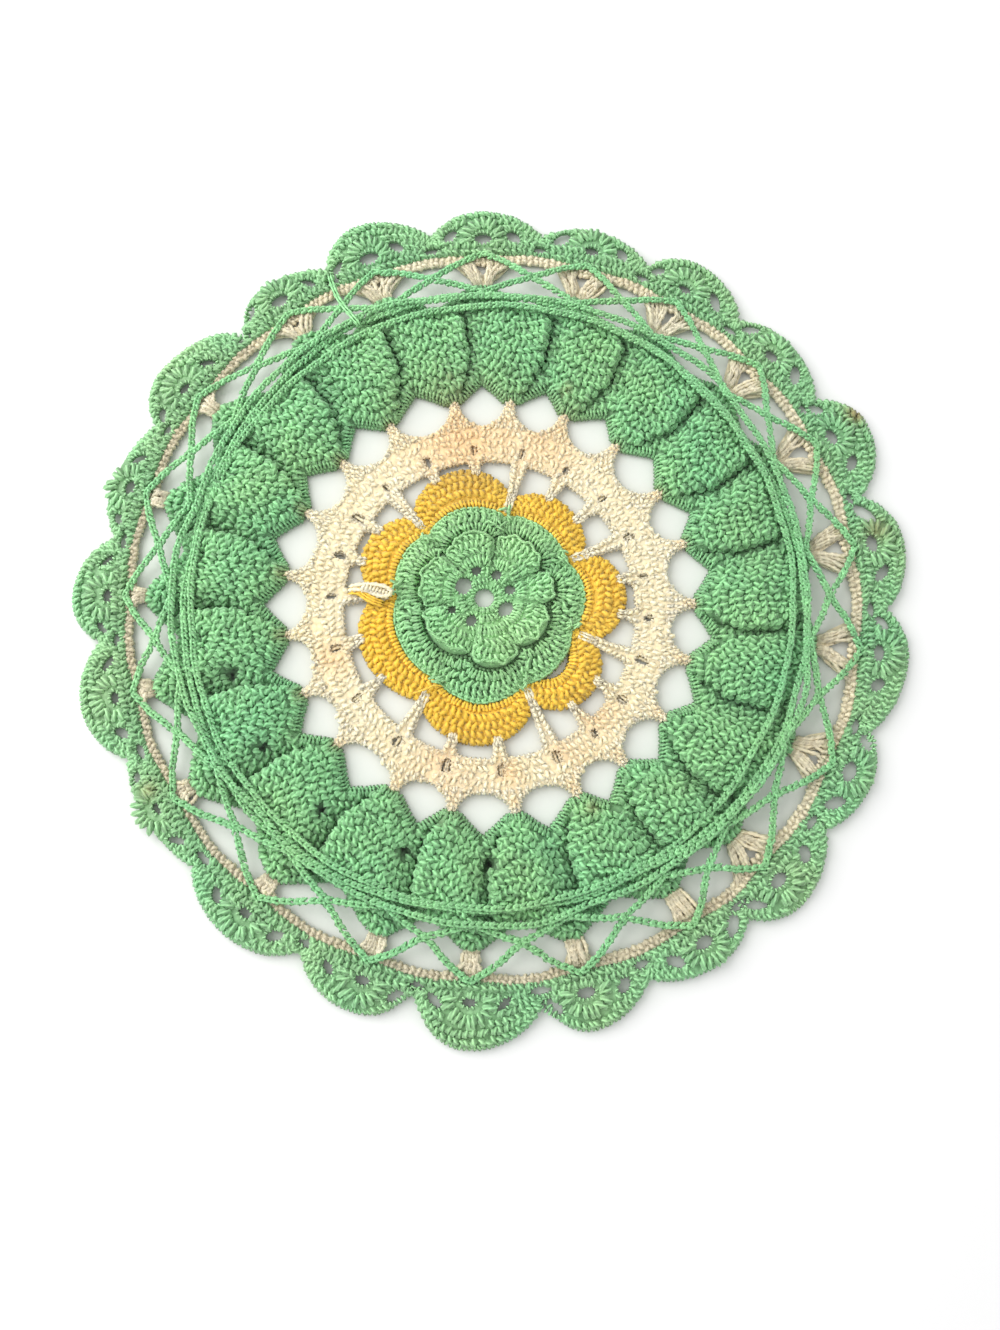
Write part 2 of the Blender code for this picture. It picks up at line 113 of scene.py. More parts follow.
def around(values, wrap=TURN):
    """A table's column with its first entry added again at the end, a turn further on."""
    return np.append(values, values[0] + wrap)


def phase_in(stops, bearing):
    """Which of the stretches between the stops a bearing is in, and how far along it, 0 to 1."""
    turned = (np.asarray(bearing, dtype=float) - stops[0]) % TURN + stops[0]
    index = np.clip(np.searchsorted(stops, turned, side="right") - 1, 0, len(stops) - 2)
    return index, (turned - stops[index]) / (stops[index + 1] - stops[index])


VALLEYS = around(column(PETALS, "valley"))
RAISED_VALLEYS = around(column(RAISED, "valley"))


def green_outline(bearing):
    """Outer edge of the wide green petals."""
    phase = phase_in(VALLEYS, bearing)[1]
    middles = (VALLEYS[:-1] + VALLEYS[1:]) / 2.0
    reach = np.interp(bearing, middles, column(PETALS, "green_reach"), period=TURN)
    return reach - GREEN_NICK * (1.0 - np.sin(np.pi * phase) ** 0.6)


def raised_outline(bearing):
    """Outer edge of the raised petals."""
    index, phase = phase_in(RAISED_VALLEYS, bearing)
    return column(RAISED, "reach")[index] - RAISED_NICK * (1.0 - np.sin(np.pi * phase) ** 0.5)


def ease(amount):
    """A smooth step from 0 to 1."""
    amount = np.clip(amount, 0.0, 1.0)
    return amount * amount * (3.0 - 2.0 * amount)


def rosette_height(bearing, radius):
    """Top of the rosette: each raised petal swells clockwise and drops over the next one."""
    raised = raised_outline(bearing)
    wide = green_outline(bearing)
    phase = phase_in(RAISED_VALLEYS, bearing)[1]
    crown = ease(phase / 0.5) * (1.0 - ease((phase - 0.84) / 0.16))
    cut = np.exp(-((np.minimum(phase, 1.0 - phase) / 0.06) ** 2))
    arch = np.sin(np.pi * phase_in(VALLEYS, bearing)[1]) ** 0.5
    swell = np.clip((radius - EYE) / (raised * 0.85 - EYE), 0, 1) ** 0.8
    on_raised = 2.3 + (0.8 + 1.9 * crown - 1.2 * cut) * swell
    trough = ease((radius - raised) / 2.4)
    on_wide = 1.4 + (0.6 + 1.5 * arch * np.clip((wide - radius) / 3.0, 0.2, 1.0)) * trough
    return np.where(radius < raised, on_raised, on_wide)


def spot(bearing, radius, height=0.0):
    """A place on the doily by its bearing, radius and height."""
    angle = np.radians(bearing)
    return np.stack(np.broadcast_arrays(radius * np.sin(angle), radius * np.cos(angle), height), -1)


def unit(vectors):
    """Vectors with the same directions and a length of one."""
    return vectors / np.maximum(np.linalg.norm(vectors, axis=-1, keepdims=True), 1e-9)


def square_to(along, vectors):
    """Directions square to one set of directions that lean as the other vectors do."""
    return unit(vectors - along * (along * vectors).sum(-1, keepdims=True))


def upright(count):
    """Straight up, once for each seat."""
    return np.tile((0.0, 0.0, 1.0), (count, 1))


def polar(points):
    """The bearing and the radius of each point."""
    return np.degrees(np.arctan2(points[:, 0], points[:, 1])) % TURN, np.hypot(points[:, 0], points[:, 1])


def run_along(route):
    """The length along a route up to each of its points."""
    return np.append(0.0, np.cumsum(np.linalg.norm(np.diff(route, axis=0), axis=1)))


Seats = namedtuple("Seats", "here along out up")
NEAR = 1e-3                  # a short step along or across a row, which shows the way that it runs


def seats(place, across, share):
    """Where stitches sit on a cloth, and the way that each faces: along its row, outwards and up."""
    here = place(across, share)
    along = unit(place(across + NEAR, share) - place(across - NEAR, share))
    out = square_to(along, place(across, share + NEAR) - place(across, share - NEAR))
    return Seats(here, along, out, np.cross(along, out))


def row_of(place, share, pitch, span=(0.0, TURN), uneven=0.16):
    """Stitches side by side along one row, a pitch apart."""
    fine = np.linspace(*span, 3000)
    run = run_along(place(fine, share))
    count = max(1, int(run[-1] / pitch))
    steps = np.arange(count) + 0.5 + hand.uniform(-uneven, uneven, count)
    return np.interp(steps * run[-1] / count, run, fine)


# Stitches in their own axes: along the row, outwards, and up out of the cloth. Each is one or two
# threads through five points, with the radius of a thread and the number of its sides.
Stitch = namedtuple("Stitch", "threads radius sides")
STEM = [(0, -1.2, -0.4), (0.03, -0.7, 0.1), (0, 0, 0.2), (-0.03, 0.7, 0.1), (0, 1.2, -0.4)]
POST = Stitch([STEM], 0.54, 6)
HOOK = [(-0.25, -1.5, -0.6), (0.05, -0.75, 0.08), (0.18, 0.0, 0.2), (0.08, 0.75, 0.08), (-0.25, 1.5, -0.6)]
LUMP = Stitch([HOOK], 0.90, 8)
TALL = Stitch([STEM], 0.78, 8)
OVER = [(0, -1.4, -0.35), (0, -0.65, 0.1), (0, 0.05, 0.0), (0, 0.3, -0.6), (0, -0.3, -1.2)]
WRAP = Stitch([OVER], 0.48, 6)
LINK = [(-1.15, 0.62, -0.25), (-0.55, 0.58, 0.04), (0, 0.44, 0.16), (0.55, 0.22, 0.12), (1.15, -0.05, -0.15)]
CHAIN = Stitch([LINK, [(x, -y, z) for x, y, z in LINK]], 0.46, 6)
ROUND = np.array([0.62, 0.95, 1.03, 0.95, 0.62])     # a stitch is fuller in the middle than at its ends

# Many threads of one kind: their middle lines, the way up and the thickness along each, and its tone
Threads = namedtuple("Threads", "lines up thick tone sides")


def stamp(stitch, at, wide=1.0, long=1.0, lean=0.0, lift=0.0, sway=10.0, tone=1.0, thick=1.0):
    """Lay a stitch's threads on every seat, each a little different, as a hand makes them."""
    count = len(at.here)
    shape = np.array(stitch.threads, dtype=float)
    legs, steps = shape.shape[:2]
    angle = np.radians(lean + hand.normal(0.0, sway, count))[:, None, None]
    x = shape[None, ..., 0] * wide * hand.uniform(0.9, 1.12, (count, 1, 1))
    y = shape[None, ..., 1] * long * hand.uniform(0.88, 1.1, (count, 1, 1))
    z = shape[None, ..., 2] + lift + hand.normal(0.0, 0.08, (count, legs, 1))
    x, y = x * np.cos(angle) - y * np.sin(angle), x * np.sin(angle) + y * np.cos(angle)
    lines = at.here[:, None, None] + sum(
        part[..., None] * axis[:, None, None] for part, axis in ((x, at.along), (y, at.out), (z, at.up))
    )
    sizes = stitch.radius * thick * ROUND[None] * hand.uniform(0.88, 1.1, (count * legs, 1))
    tones = np.repeat(tone * hand.normal(1.0, 0.07, count), legs)
    lines = lines.reshape(-1, steps, 3)
    return Threads(lines, np.repeat(at.up, legs, axis=0), sizes, tones, stitch.sides)


def thread_rings(threads):
    """The rings of points round each thread. Its plies show as ridges that wind along it."""
    run = unit(np.gradient(threads.lines, axis=1))
    side = unit(np.cross(run[:, 0], threads.up))
    frames = []
    for step in range(run.shape[1]):
        side = square_to(run[:, step], side)
        frames.append(side)
    sides = threads.sides
    side = np.stack(frames, axis=1)[:, :, None]
    top = np.cross(side, run[:, :, None])
    twist = np.linalg.norm(np.diff(threads.lines, axis=1), axis=-1) / PLY_TURN
    twist = np.append(np.zeros((len(twist), 1)), np.minimum(twist, 1.0 / sides).cumsum(axis=1), axis=1)
    corner = np.arange(sides)
    angle = ((corner / sides + twist[:, :, None]) * 2.0 * np.pi)[..., None]
    ridge = (1.0 + PLY_RIDGE * (-1.0) ** corner)[:, None] * threads.thick[:, :, None, None]
    return threads.lines[:, :, None] + (side * np.cos(angle) + top * np.sin(angle)) * ridge


def thread_faces(steps, sides):
    """The faces round one thread, each corner as its step along and its turn round."""
    faces = []
    for k in range(sides):
        for step in range(steps - 1):
            near = [(0, k + 0.5)] if step == 0 else [(step, k), (step, k + 1)]
            far = [(step + 1, k + 0.5)] if step == steps - 2 else [(step + 1, k + 1), (step + 1, k)]
            faces.append(near + far)
    return faces


def crochet(name, batches, material):
    """One mesh of many threads. A map along and round each thread carries the twist of its plies."""
    points, corners, sizes, maps, tones = [], [], [], [], []
    base = 0
    for threads in batches:
        count, steps = threads.lines.shape[:2]
        sides = threads.sides
        rings = thread_rings(threads)[:, 1:-1].reshape(count, -1, 3)
        block = np.concatenate([threads.lines[:, :1], rings, threads.lines[:, -1:]], axis=1)
        faces = thread_faces(steps, sides)
        step, turn = np.array([corner for face in faces for corner in face]).T
        tip = np.where(step == 0, 0, block.shape[1] - 1)
        at_ring = 1 + (step - 1) * sides + turn.astype(int) % sides
        corner = np.where((step == 0) | (step == steps - 1), tip, at_ring)
        run = np.linalg.norm(np.diff(threads.lines, axis=1), axis=-1).cumsum(axis=1)
        run = np.append(np.zeros((count, 1)), run, axis=1) + hand.uniform(0.0, 9.0, (count, 1))
        along = run[:, step.astype(int)]
        points.append(block.reshape(-1, 3))
        tones.append(np.repeat(threads.tone, block.shape[1]))
        corners.append((base + np.arange(count)[:, None] * block.shape[1] + corner[None]).reshape(-1))
        maps.append(np.stack([along, np.broadcast_to(turn / 2.0, along.shape)], -1).reshape(-1, 2))
        sizes.append(np.tile([len(face) for face in faces], count))
        base += count * block.shape[1]
    points = np.concatenate(points)
    points[:, 2] = np.maximum(points[:, 2], TABLE_CLEAR)
    corners = np.concatenate(corners).astype(np.int32)
    sizes = np.concatenate(sizes)
    mesh = bpy.data.meshes.new(name)
    mesh.vertices.add(len(points))
    mesh.vertices.foreach_set("co", to_metres(points).reshape(-1))
    mesh.loops.add(len(corners))
    mesh.loops.foreach_set("vertex_index", corners)
    mesh.polygons.add(len(sizes))
    mesh.polygons.foreach_set("loop_start", (np.cumsum(sizes) - sizes).astype(np.int32))
    mesh.update(calc_edges=True)
    mesh.shade_smooth()
    mesh.uv_layers.new(name="thread").uv.foreach_set("vector", np.concatenate(maps).reshape(-1))
    mark(mesh, tone=np.concatenate(tones), soil=soiling(points))
    return as_piece(name, mesh, material)


def to_metres(points):
    """From millimetres round the flower to the doily's own frame."""
    moved = np.array(points, dtype=float)
    moved[:, :2] += FLOWER
    return moved * MM


def mark(mesh, **values):
    """Give each point of a mesh the values that its cotton reads."""
    for label, value in values.items():
        mesh.attributes.new(label, "FLOAT", "POINT").data.foreach_set("value", value)


def as_piece(name, mesh, material):
    """A named piece of the doily, in the cotton that its round is worked in."""
    mesh.materials.append(material)
    piece = bpy.data.objects.new(name, mesh)
    bpy.context.scene.collection.objects.link(piece)
    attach(piece, "root")
    return piece


# Old stains: bearing, radius, how wide and how strong
Stain = namedtuple("Stain", "bearing radius wide strength")
STAINS = [
    Stain(63, 121, 3.0, 0.9), Stain(80, 113, 3.5, 0.55), Stain(239, 106, 2.5, 0.5),
    Stain(154, 66, 2.0, 0.4), Stain(21, 66, 2.2, 0.4), Stain(351, 66, 2.0, 0.35),
    Stain(6, 47, 6.0, 0.6), Stain(138, 46, 6.0, 0.55), Stain(154, 48, 4.0, 0.5),
    Stain(172, 50, 4.0, 0.6), Stain(195, 47, 6.0, 0.55), Stain(246, 46, 5.0, 0.6),
    Stain(352, 48, 15.0, 0.80), Stain(20, 50, 12.0, 0.55), Stain(148, 50, 8.0, 0.25),
    Stain(192, 52, 12.0, 0.34),
]


def soiling(points):
    """How stained each point is, from the old marks on the doily."""
    soil = np.zeros(len(points))
    for stain in STAINS:
        off = np.linalg.norm(points[:, :2] - spot(stain.bearing, stain.radius)[:2], axis=1)
        soil = np.maximum(soil, stain.strength * np.exp(-((off / stain.wide) ** 2)))
    return soil


def cotton(name, colour, aged, soiled=(0.30, 0.20, 0.08), soft=0.08, fibres=0.5, groove_shade_depth=0.25):
    """Matt crochet cotton: twisted plies, fine fibres, uneven dye, old stains, and painted shade in grooves.
    """
    material = bpy.data.materials.new(name)
    material.use_nodes = True
    nodes = material.node_tree.nodes
    links = material.node_tree.links
    shader = nodes["Principled BSDF"]
    shader.inputs["Roughness"].default_value = 0.6
    shader.inputs["Specular IOR Level"].default_value = 0.35
    shader.inputs["Sheen Weight"].default_value = 0.12
    shader.inputs["Sheen Roughness"].default_value = 0.5
    shader.inputs["Subsurface Weight"].default_value = soft
    shader.inputs["Subsurface Radius"].default_value = (1.0, 1.0, 1.0)
    shader.inputs["Subsurface Scale"].default_value = 0.0012
    place = nodes.new("ShaderNodeTexCoord")

    def noise(scale, detail):
        texture = nodes.new("ShaderNodeTexNoise")
        texture.inputs["Scale"].default_value = scale
        texture.inputs["Detail"].default_value = detail
        links.new(place.outputs["Object"], texture.inputs["Vector"])
        return texture.outputs["Fac"]

    def math(kind, first, second):
        node = nodes.new("ShaderNodeMath")
        node.operation = kind
        for socket, value in zip(node.inputs, (first, second)):
            if isinstance(value, (int, float)):
                socket.default_value = value
            else:
                links.new(value, socket)
        return node.outputs[0]

    def blend(amount, first, second, kind="MIX"):
        node = nodes.new("ShaderNodeMix")
        node.data_type = "RGBA"
        node.blend_type = kind
        for label, value in (("Factor", amount), ("A", first), ("B", second)):
            socket = node.inputs[label]
            if isinstance(value, float):
                socket.default_value = value
            elif isinstance(value, tuple):
                socket.default_value = (*value, 1.0)
            else:
                links.new(value, socket)
        return node.outputs["Result"]

    def attribute(label):
        node = nodes.new("ShaderNodeAttribute")
        node.attribute_name = label
        return node.outputs["Fac"]

    # Plies wound round each other, with painted shade in the grooves between them
    thread = nodes.new("ShaderNodeUVMap")
    thread.uv_map = "thread"
    parts = nodes.new("ShaderNodeSeparateXYZ")
    links.new(thread.outputs["UV"], parts.inputs[0])
    plies = math("COSINE", math("MULTIPLY", parts.outputs["Y"], 2.0 * np.pi), 0.0)

    # Dye that took unevenly, over the doily and along each thread
    patches = math("MULTIPLY_ADD", noise(45.0, 3.0), 2.2)
    patches.node.inputs[2].default_value = -0.65
    patches.node.use_clamp = True
    dyed = blend(patches, colour, aged)
    tone = attribute("tone")
    grain = math("MULTIPLY_ADD", noise(1500.0, 2.0), 0.30)
    links.new(tone, grain.node.inputs[2])
    painted_groove_shade = math("MULTIPLY_ADD", plies, groove_shade_depth)
    painted_groove_shade.node.inputs[2].default_value = 1.0 - groove_shade_depth
    shade = math("MULTIPLY", math("SUBTRACT", grain, 0.15), painted_groove_shade)

    # The underside of a round shows no separate threads, only the knobs of its stitches, with painted shade
    # between the knobs
    cells = nodes.new("ShaderNodeTexVoronoi")
    cells.inputs["Scale"].default_value = 560.0
    cells.inputs["Randomness"].default_value = 0.7
    links.new(place.outputs["Object"], cells.inputs["Vector"])
    knobs = math("MULTIPLY", cells.outputs["Distance"], attribute("knobby"))
    shade = math("SUBTRACT", shade, math("MULTIPLY", knobs, 0.3))
    worn = blend(1.0, dyed, shade, "MULTIPLY")
    links.new(blend(attribute("soil"), worn, soiled), shader.inputs["Base Color"])

    relief = math("ADD", math("MULTIPLY", plies, 0.5), math("MULTIPLY", noise(3500.0, 1.0), fibres))
    relief = math("SUBTRACT", relief, math("MULTIPLY", knobs, 3.5))
    bump = nodes.new("ShaderNodeBump")
    bump.inputs["Strength"].default_value = 0.6
    bump.inputs["Distance"].default_value = 0.00018
    links.new(relief, bump.inputs["Height"])
    links.new(bump.outputs["Normal"], shader.inputs["Normal"])
    return material


# A cloth's tone paints it darker than its stitches: painted shade in the gaps between them
def cloth(name, loops, height, fill, thickness, material, sink=0.5, tone=0.6):
    """The body of a round under its stitches: a plan with openings, raised to its height."""
    points, edges = [], []
    for loop in loops:
        start = len(points)
        points += [Vector(p[:2]) for p in loop]
        edges += [(start + i, start + (i + 1) % len(loop)) for i in range(len(loop))]
    points += [Vector(p[:2]) for p in fill]
    plan, _, triangles, *_ = delaunay_2d_cdt(points, edges, [], 1, 1e-5)
    plan = np.array([tuple(p) for p in plan])
    triangles = np.array([tuple(t) for t in triangles])
    middles = plan[triangles].mean(axis=1)
    solid = inside(middles, loops[0])
    for opening in loops[1:]:
        solid &= ~inside(middles, opening)
    triangles = triangles[solid]
    top = np.maximum(height(*polar(plan)) - sink, 0.5)
    low = np.maximum(top - thickness, CLOTH_CLEAR)
    count = len(plan)
    verts = np.concatenate([np.column_stack([plan, top]), np.column_stack([plan, low])])
    faces = [tuple(t) for t in triangles] + [tuple(t[::-1] + count) for t in triangles]
    sides = {(t[i], t[(i + 1) % 3]) for t in triangles.tolist() for i in range(3)}
    faces += [(a, a + count, b + count, b) for a, b in sides if (b, a) not in sides]
    mesh = bpy.data.meshes.new(name)
    mesh.from_pydata(to_metres(verts).tolist(), [], faces)
    mesh.validate()
    mesh.shade_smooth()
    mesh.set_sharp_from_angle(angle=np.radians(40.0))
    mark(mesh, tone=np.full(len(verts), tone), soil=soiling(verts), knobby=np.ones(len(verts)))
    return as_piece(name, mesh, material)


def inside(points, loop):
    """Which plan points are inside a closed outline."""
    x, y = points[:, 0], points[:, 1]
    odd = np.zeros(len(points), dtype=bool)
    for (x0, y0), (x1, y1) in zip(loop[:, :2], np.roll(loop[:, :2], -1, 0)):
        if y0 != y1:
            odd ^= ((y0 > y) != (y1 > y)) & (x < x0 + (y - y0) * (x1 - x0) / (y1 - y0))
    return odd


def ring_loop(outline, steps):
    """A closed outline from a radius for every bearing."""
    bearing = np.arange(steps) / steps * TURN
    return spot(bearing, outline(bearing))


def oval(middle, wide, deep, facing, steps=10):
    """A small opening by its half-width along the row, its half-depth and the bearing that it faces."""
    angle = np.arange(steps) / steps * 2.0 * np.pi
    out = spot(facing, 1.0)
    along = np.array([out[1], -out[0], 0.0])
    return middle + np.outer(np.cos(angle) * wide, along) + np.outer(np.sin(angle) * deep, out)


def rim_seats(loop, height, pitch, inward=False):
    """Seats along a closed outline, facing out of the cloth."""
    closed = np.concatenate([loop, loop[:1]])
    run = run_along(closed)
    count = max(4, int(run[-1] / pitch))
    steps = (np.arange(count) + hand.uniform(-0.12, 0.12, count)) * run[-1] / count % run[-1]

    def at(steps):
        return np.stack([np.interp(steps % run[-1], run, closed[:, i]) for i in range(3)], -1)

    here = at(steps)
    along = unit(at(steps + 0.4) - at(steps - 0.4))
    up = upright(count)
    out = np.cross(up, along)
    area = 0.5 * (closed[:-1, 0] * closed[1:, 1] - closed[1:, 0] * closed[:-1, 1]).sum()
    if (area > 0.0) != inward:
        out = -out
    here[:, 2] = height(*polar(here))
    return Seats(here, np.cross(out, up), out, up)


def edged(loop, height, pitch, inward=False, **how):
    """Stitches wrapped over an edge, all the way round an outline."""
    return stamp(WRAP, rim_seats(loop, height, pitch, inward), **how)


def clear_of(at, openings):
    """Which seats don't lie over an opening."""
    keep = np.ones(len(at.here), dtype=bool)
    for opening in openings:
        keep &= ~inside(at.here, opening)
    return keep


def only(at, keep):
    """The seats that are kept."""
    return Seats(*(part[keep] for part in at))


def rosette_place(bearing, radius):
    """A place on top of the rosette."""
    return spot(bearing, radius, rosette_height(bearing, radius))


def raised_place(bearing, share):
    """A place on the raised petals, from the gaps round the eye to their edge."""
    edge = raised_outline(bearing)
    radius = GAP_RING + (edge - GAP_RING) * share
    return spot(bearing, radius, rosette_height(bearing, np.minimum(radius, edge - 0.05)))


def wide_place(bearing, share):
    """A place on the wide petals, from under the raised ones to their edge."""
    inner = raised_outline(bearing) + 0.3
    radius = inner + (green_outline(bearing) - inner) * share
    return spot(bearing, radius, rosette_height(bearing, np.maximum(radius, inner)))


def worked(place, share, stitch, pitch, openings=(), stray=0.0, shade=None, tone=1.0, **how):
    """A whole row of stitches at one share of a cloth's depth, left out over its openings."""
    across = row_of(place, share, pitch)
    at = seats(place, across, share + hand.uniform(-stray, stray, len(across)))
    keep = clear_of(at, openings)
    tones = np.full(len(across), tone) if shade is None else tone * shade(across)
    return stamp(stitch, only(at, keep), tone=tones[keep], **how)


def smooth_route(points, steps=12):
    """A smooth route through a few points."""
    points = np.array(points, dtype=float)
    padded = np.concatenate([2 * points[:1] - points[1:2], points, 2 * points[-1:] - points[-2:-1]])
    t = np.linspace(0.0, 1.0, steps, endpoint=False)[:, None]
    route = []
    for p0, p1, p2, p3 in zip(padded, padded[1:], padded[2:], padded[3:]):
        bend = (2 * p0 - 5 * p1 + 4 * p2 - p3) * t ** 2 + (3 * p1 - p0 - 3 * p2 + p3) * t ** 3
        route.append(p1 + 0.5 * ((p2 - p0) * t + bend))
    return np.concatenate([*route, points[-1:]])


def at_run(route, lengths):
    """The places at some lengths along a route."""
    run = run_along(route)
    return np.stack([np.interp(lengths, run, route[:, i]) for i in range(3)], -1)


def chain_along(route, pitch=CHAIN_PITCH):
    """Seats for the links of a chain along a route."""
    total = run_along(route)[-1]
    count = max(2, int(total / pitch))
    steps = (np.arange(count) + 0.5 + hand.uniform(-0.13, 0.13, count)) * total / count
    along = unit(at_run(route, steps + 0.3) - at_run(route, steps - 0.3))
    side = unit(np.cross((0.0, 0.0, 1.0), along))
    return Seats(at_run(route, steps), along, side, np.cross(along, side))


def strands(routes, radius, steps=8, tone=1.0, uneven=0.05):
    """Loose threads, each along its own smooth route."""
    lines = []
    for route in routes:
        smooth = smooth_route(route)
        lines.append(at_run(smooth, np.linspace(0.0, run_along(smooth)[-1], steps)))
    count = len(lines)
    taper = np.ones(steps)
    taper[[0, -1]] = 0.6
    sizes = radius * taper * hand.uniform(0.9, 1.1, (count, 1))
    tones = tone * hand.normal(1.0, uneven, count)
    return Threads(np.array(lines), upright(count), sizes, tones, 6)


def joined(groups):
    """Several groups of seats as one."""
    return Seats(*(np.concatenate(parts) for parts in zip(*groups)))


flower_cotton = cotton("flower_cotton", FLOWER_GREEN, (0.52, 0.90, 0.40))


def raised_shade(bearing):
    """Painted shade in the folds between the raised petals."""
    phase = phase_in(RAISED_VALLEYS, bearing)[1]
    return 0.60 + 0.43 * ease(np.minimum(phase, 1.0 - phase) / 0.13)


def wide_shade(bearing):
    """Painted shade, a little darker, where two wide petals meet."""
    return 0.80 + 0.20 * np.sin(np.pi * phase_in(VALLEYS, bearing)[1]) ** 0.5


def rosette_gaps(wider=0.0, deeper=0.0):
    """The gaps round the eye, or larger ovals that stitches keep clear of."""
    return [
        oval(spot(gap.bearing, gap.radius), gap.wide + wider, gap.deep + deeper, gap.bearing)
        for gap in ROSETTE_GAPS
    ]


eye = oval(spot(*EYE_MIDDLE), EYE, EYE, 0.0, 16)
gaps = rosette_gaps()
clearings = rosette_gaps(0.7, 0.9)
outline = ring_loop(green_outline, 140)
fill = [place for radius in (6.0, 11.0, 15.0) for place in spot(np.arange(42) / 42 * TURN, radius)]
for step in (-0.3, 0.3):
    fill += list(ring_loop(lambda bearing: raised_outline(bearing) + step, 126))
rosette_cloth = cloth(
    "rosette_cloth", [outline * WITHIN, eye, *gaps], rosette_height, fill, 1.6,
    flower_cotton, sink=0.2, tone=0.72)
rows = [
    worked(rosette_place, 4.4, POST, 1.05, clearings, long=0.95, sway=14.0),
    worked(rosette_place, 6.9, POST, 1.1, clearings, long=1.35, sway=14.0),
    worked(raised_place, 0.18, POST, 1.0, clearings, shade=raised_shade, long=1.7, sway=12.0),
    worked(raised_place, 0.47, LUMP, 1.6, shade=raised_shade, stray=0.03, lean=22.0, sway=12.0, thick=0.8),
    worked(raised_place, 0.66, LUMP, 1.6, shade=raised_shade, stray=0.03, lean=-22.0, sway=12.0, thick=0.82),
    worked(raised_place, 0.84, LUMP, 1.6, shade=raised_shade, stray=0.03, long=0.8, sway=18.0, thick=0.8),
    # the first row of the wide petals is painted dark: painted shade under the raised petals' edge
    worked(wide_place, 0.05, POST, 1.2, long=0.8, tone=0.5),
    worked(wide_place, 0.28, POST, 1.06, shade=wide_shade, stray=0.03, long=1.5, sway=12.0),
    worked(wide_place, 0.56, LUMP, 1.65, shade=wide_shade, stray=0.03, lean=-20.0, sway=12.0, thick=0.82),
    worked(wide_place, 0.76, LUMP, 1.65, shade=wide_shade, stray=0.03, lean=20.0, sway=12.0, thick=0.82),
    worked(wide_place, 0.90, LUMP, 1.65, shade=wide_shade, stray=0.02, long=0.65, sway=16.0, thick=0.78),
    # the edging round the wide petals is painted darker: painted shade where they drop to the yellow
    edged(outline, rosette_height, 1.1, tone=0.75),
    edged(eye, rosette_height, 1.05, inward=True, long=0.8),
]
rows += [edged(gap, rosette_height, 1.1, inward=True, long=0.7, thick=0.9) for gap in gaps]

# A chain runs round the wide petals, and a strand edges each raised petal and hooks in at both its ends
petal_strands = []
bearing = np.linspace(0.0, TURN, 240)
edge = green_outline(bearing)
route = spot(bearing, edge - 0.55, rosette_height(bearing, edge - 1.2) + 0.1)
rows.append(stamp(CHAIN, chain_along(route, 1.8), sway=8.0, tone=1.06, thick=1.1))
for first, last in zip(RAISED_VALLEYS[:-1] + 3.0, RAISED_VALLEYS[1:] - 3.0):
    hooks = hand.uniform(2.0, 6.0, 2)
    bearing = np.linspace(first, last, 12)
    radius = raised_outline(bearing) - 0.6 + hand.normal(0.0, 0.5, 12)
    bearing = np.concatenate([(first + 5.0, first - 0.5), bearing, (last + 0.5, last - 6.0)])
    start, stop = radius[[0, -1]] - hooks
    radius = np.concatenate([(start - 2.2, start), radius, (stop, stop - 2.0)])
    petal_strands.append(spot(bearing, radius, rosette_height(bearing, radius - 0.7) + 0.6))
rows.append(strands(petal_strands, 0.5, steps=44, tone=0.98))

# Where two petals meet, a few loose loops stand out over the yellow
Tuft = namedtuple("Tuft", "bearing radius")
TUFTS = (
    Tuft(11, 20.7), Tuft(14, 25.0), Tuft(63, 24.8), Tuft(110, 26.5),
    Tuft(156, 27.0), Tuft(210, 27.0), Tuft(275, 25.3), Tuft(315, 23.9),
)
TUFT_HEIGHT = 4.1
LOOPS = 6                    # in each tuft
count = LOOPS * len(TUFTS)
bearing = np.repeat(column(TUFTS, "bearing"), LOOPS)
aside = hand.normal(0.0, 2.2, count)
radius = np.repeat(column(TUFTS, "radius"), LOOPS) + hand.uniform(-1.5, 1.5, count)
tufts = spot(bearing + aside, radius, TUFT_HEIGHT)
facing = spot(bearing + hand.normal(0.0, 40.0, count), 1.0)
up = upright(count)
rows.append(stamp(POST, Seats(tufts, np.cross(facing, up), facing, up), long=1.25, sway=20.0, thick=0.8))
rosette_stitches = crochet("rosette_stitches", rows, flower_cotton)
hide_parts("rosette")


# ---- Petal round ----
# Seven wide petals behind the rosette, crocheted in golden yellow cotton onto the back of its
# posts: a row of tall posts, then rows of short stitches to a rounded edge.

YELLOW = (0.96, 0.60, 0.050)
LOOSE_PETAL = 2              # this petal stands away from the rosette
LOOSE_GAP = 2.6              # by this much
YELLOW_UNDER = 3.4           # how far the other petals reach in under the rosette


def yellow_outline(bearing):
    """Outer edge of the yellow petals."""
    index, phase = phase_in(VALLEYS, bearing)
    valley = around(column(PETALS, "yellow_valley"), 0.0)
    floor = valley[index] * (1.0 - phase) + valley[index + 1] * phase
    return floor + (column(PETALS, "yellow_reach")[index] - floor) * np.sin(np.pi * phase) ** 0.5


def yellow_inner(bearing):
    """Inner edge of the yellow petals: under the rosette, but for the one that stands away."""
    index, phase = phase_in(VALLEYS, bearing)
    loose = (index == LOOSE_PETAL) * np.sin(np.pi * phase)
    return green_outline(bearing) - YELLOW_UNDER + loose * (YELLOW_UNDER + LOOSE_GAP)


def yellow_height(bearing, radius):
    """Top of the yellow petals: low where the rosette lies on them."""
    phase = phase_in(VALLEYS, bearing)[1]
    inner = yellow_inner(bearing)
    rise = np.sin(np.pi * np.clip((radius - inner) / (yellow_outline(bearing) - inner), 0.0, 1.0))
    free = ease((radius - green_outline(bearing) + 0.9) / 2.2)
    return 1.1 + (0.7 + 1.1 * np.sin(np.pi * phase) * rise) * free


def yellow_place(bearing, share):
    """A place on the yellow petals, from the rosette to their edge."""
    shown = np.maximum(yellow_inner(bearing), green_outline(bearing) - 0.6)
    radius = shown + (yellow_outline(bearing) - shown) * share
    return spot(bearing, radius, yellow_height(bearing, radius))


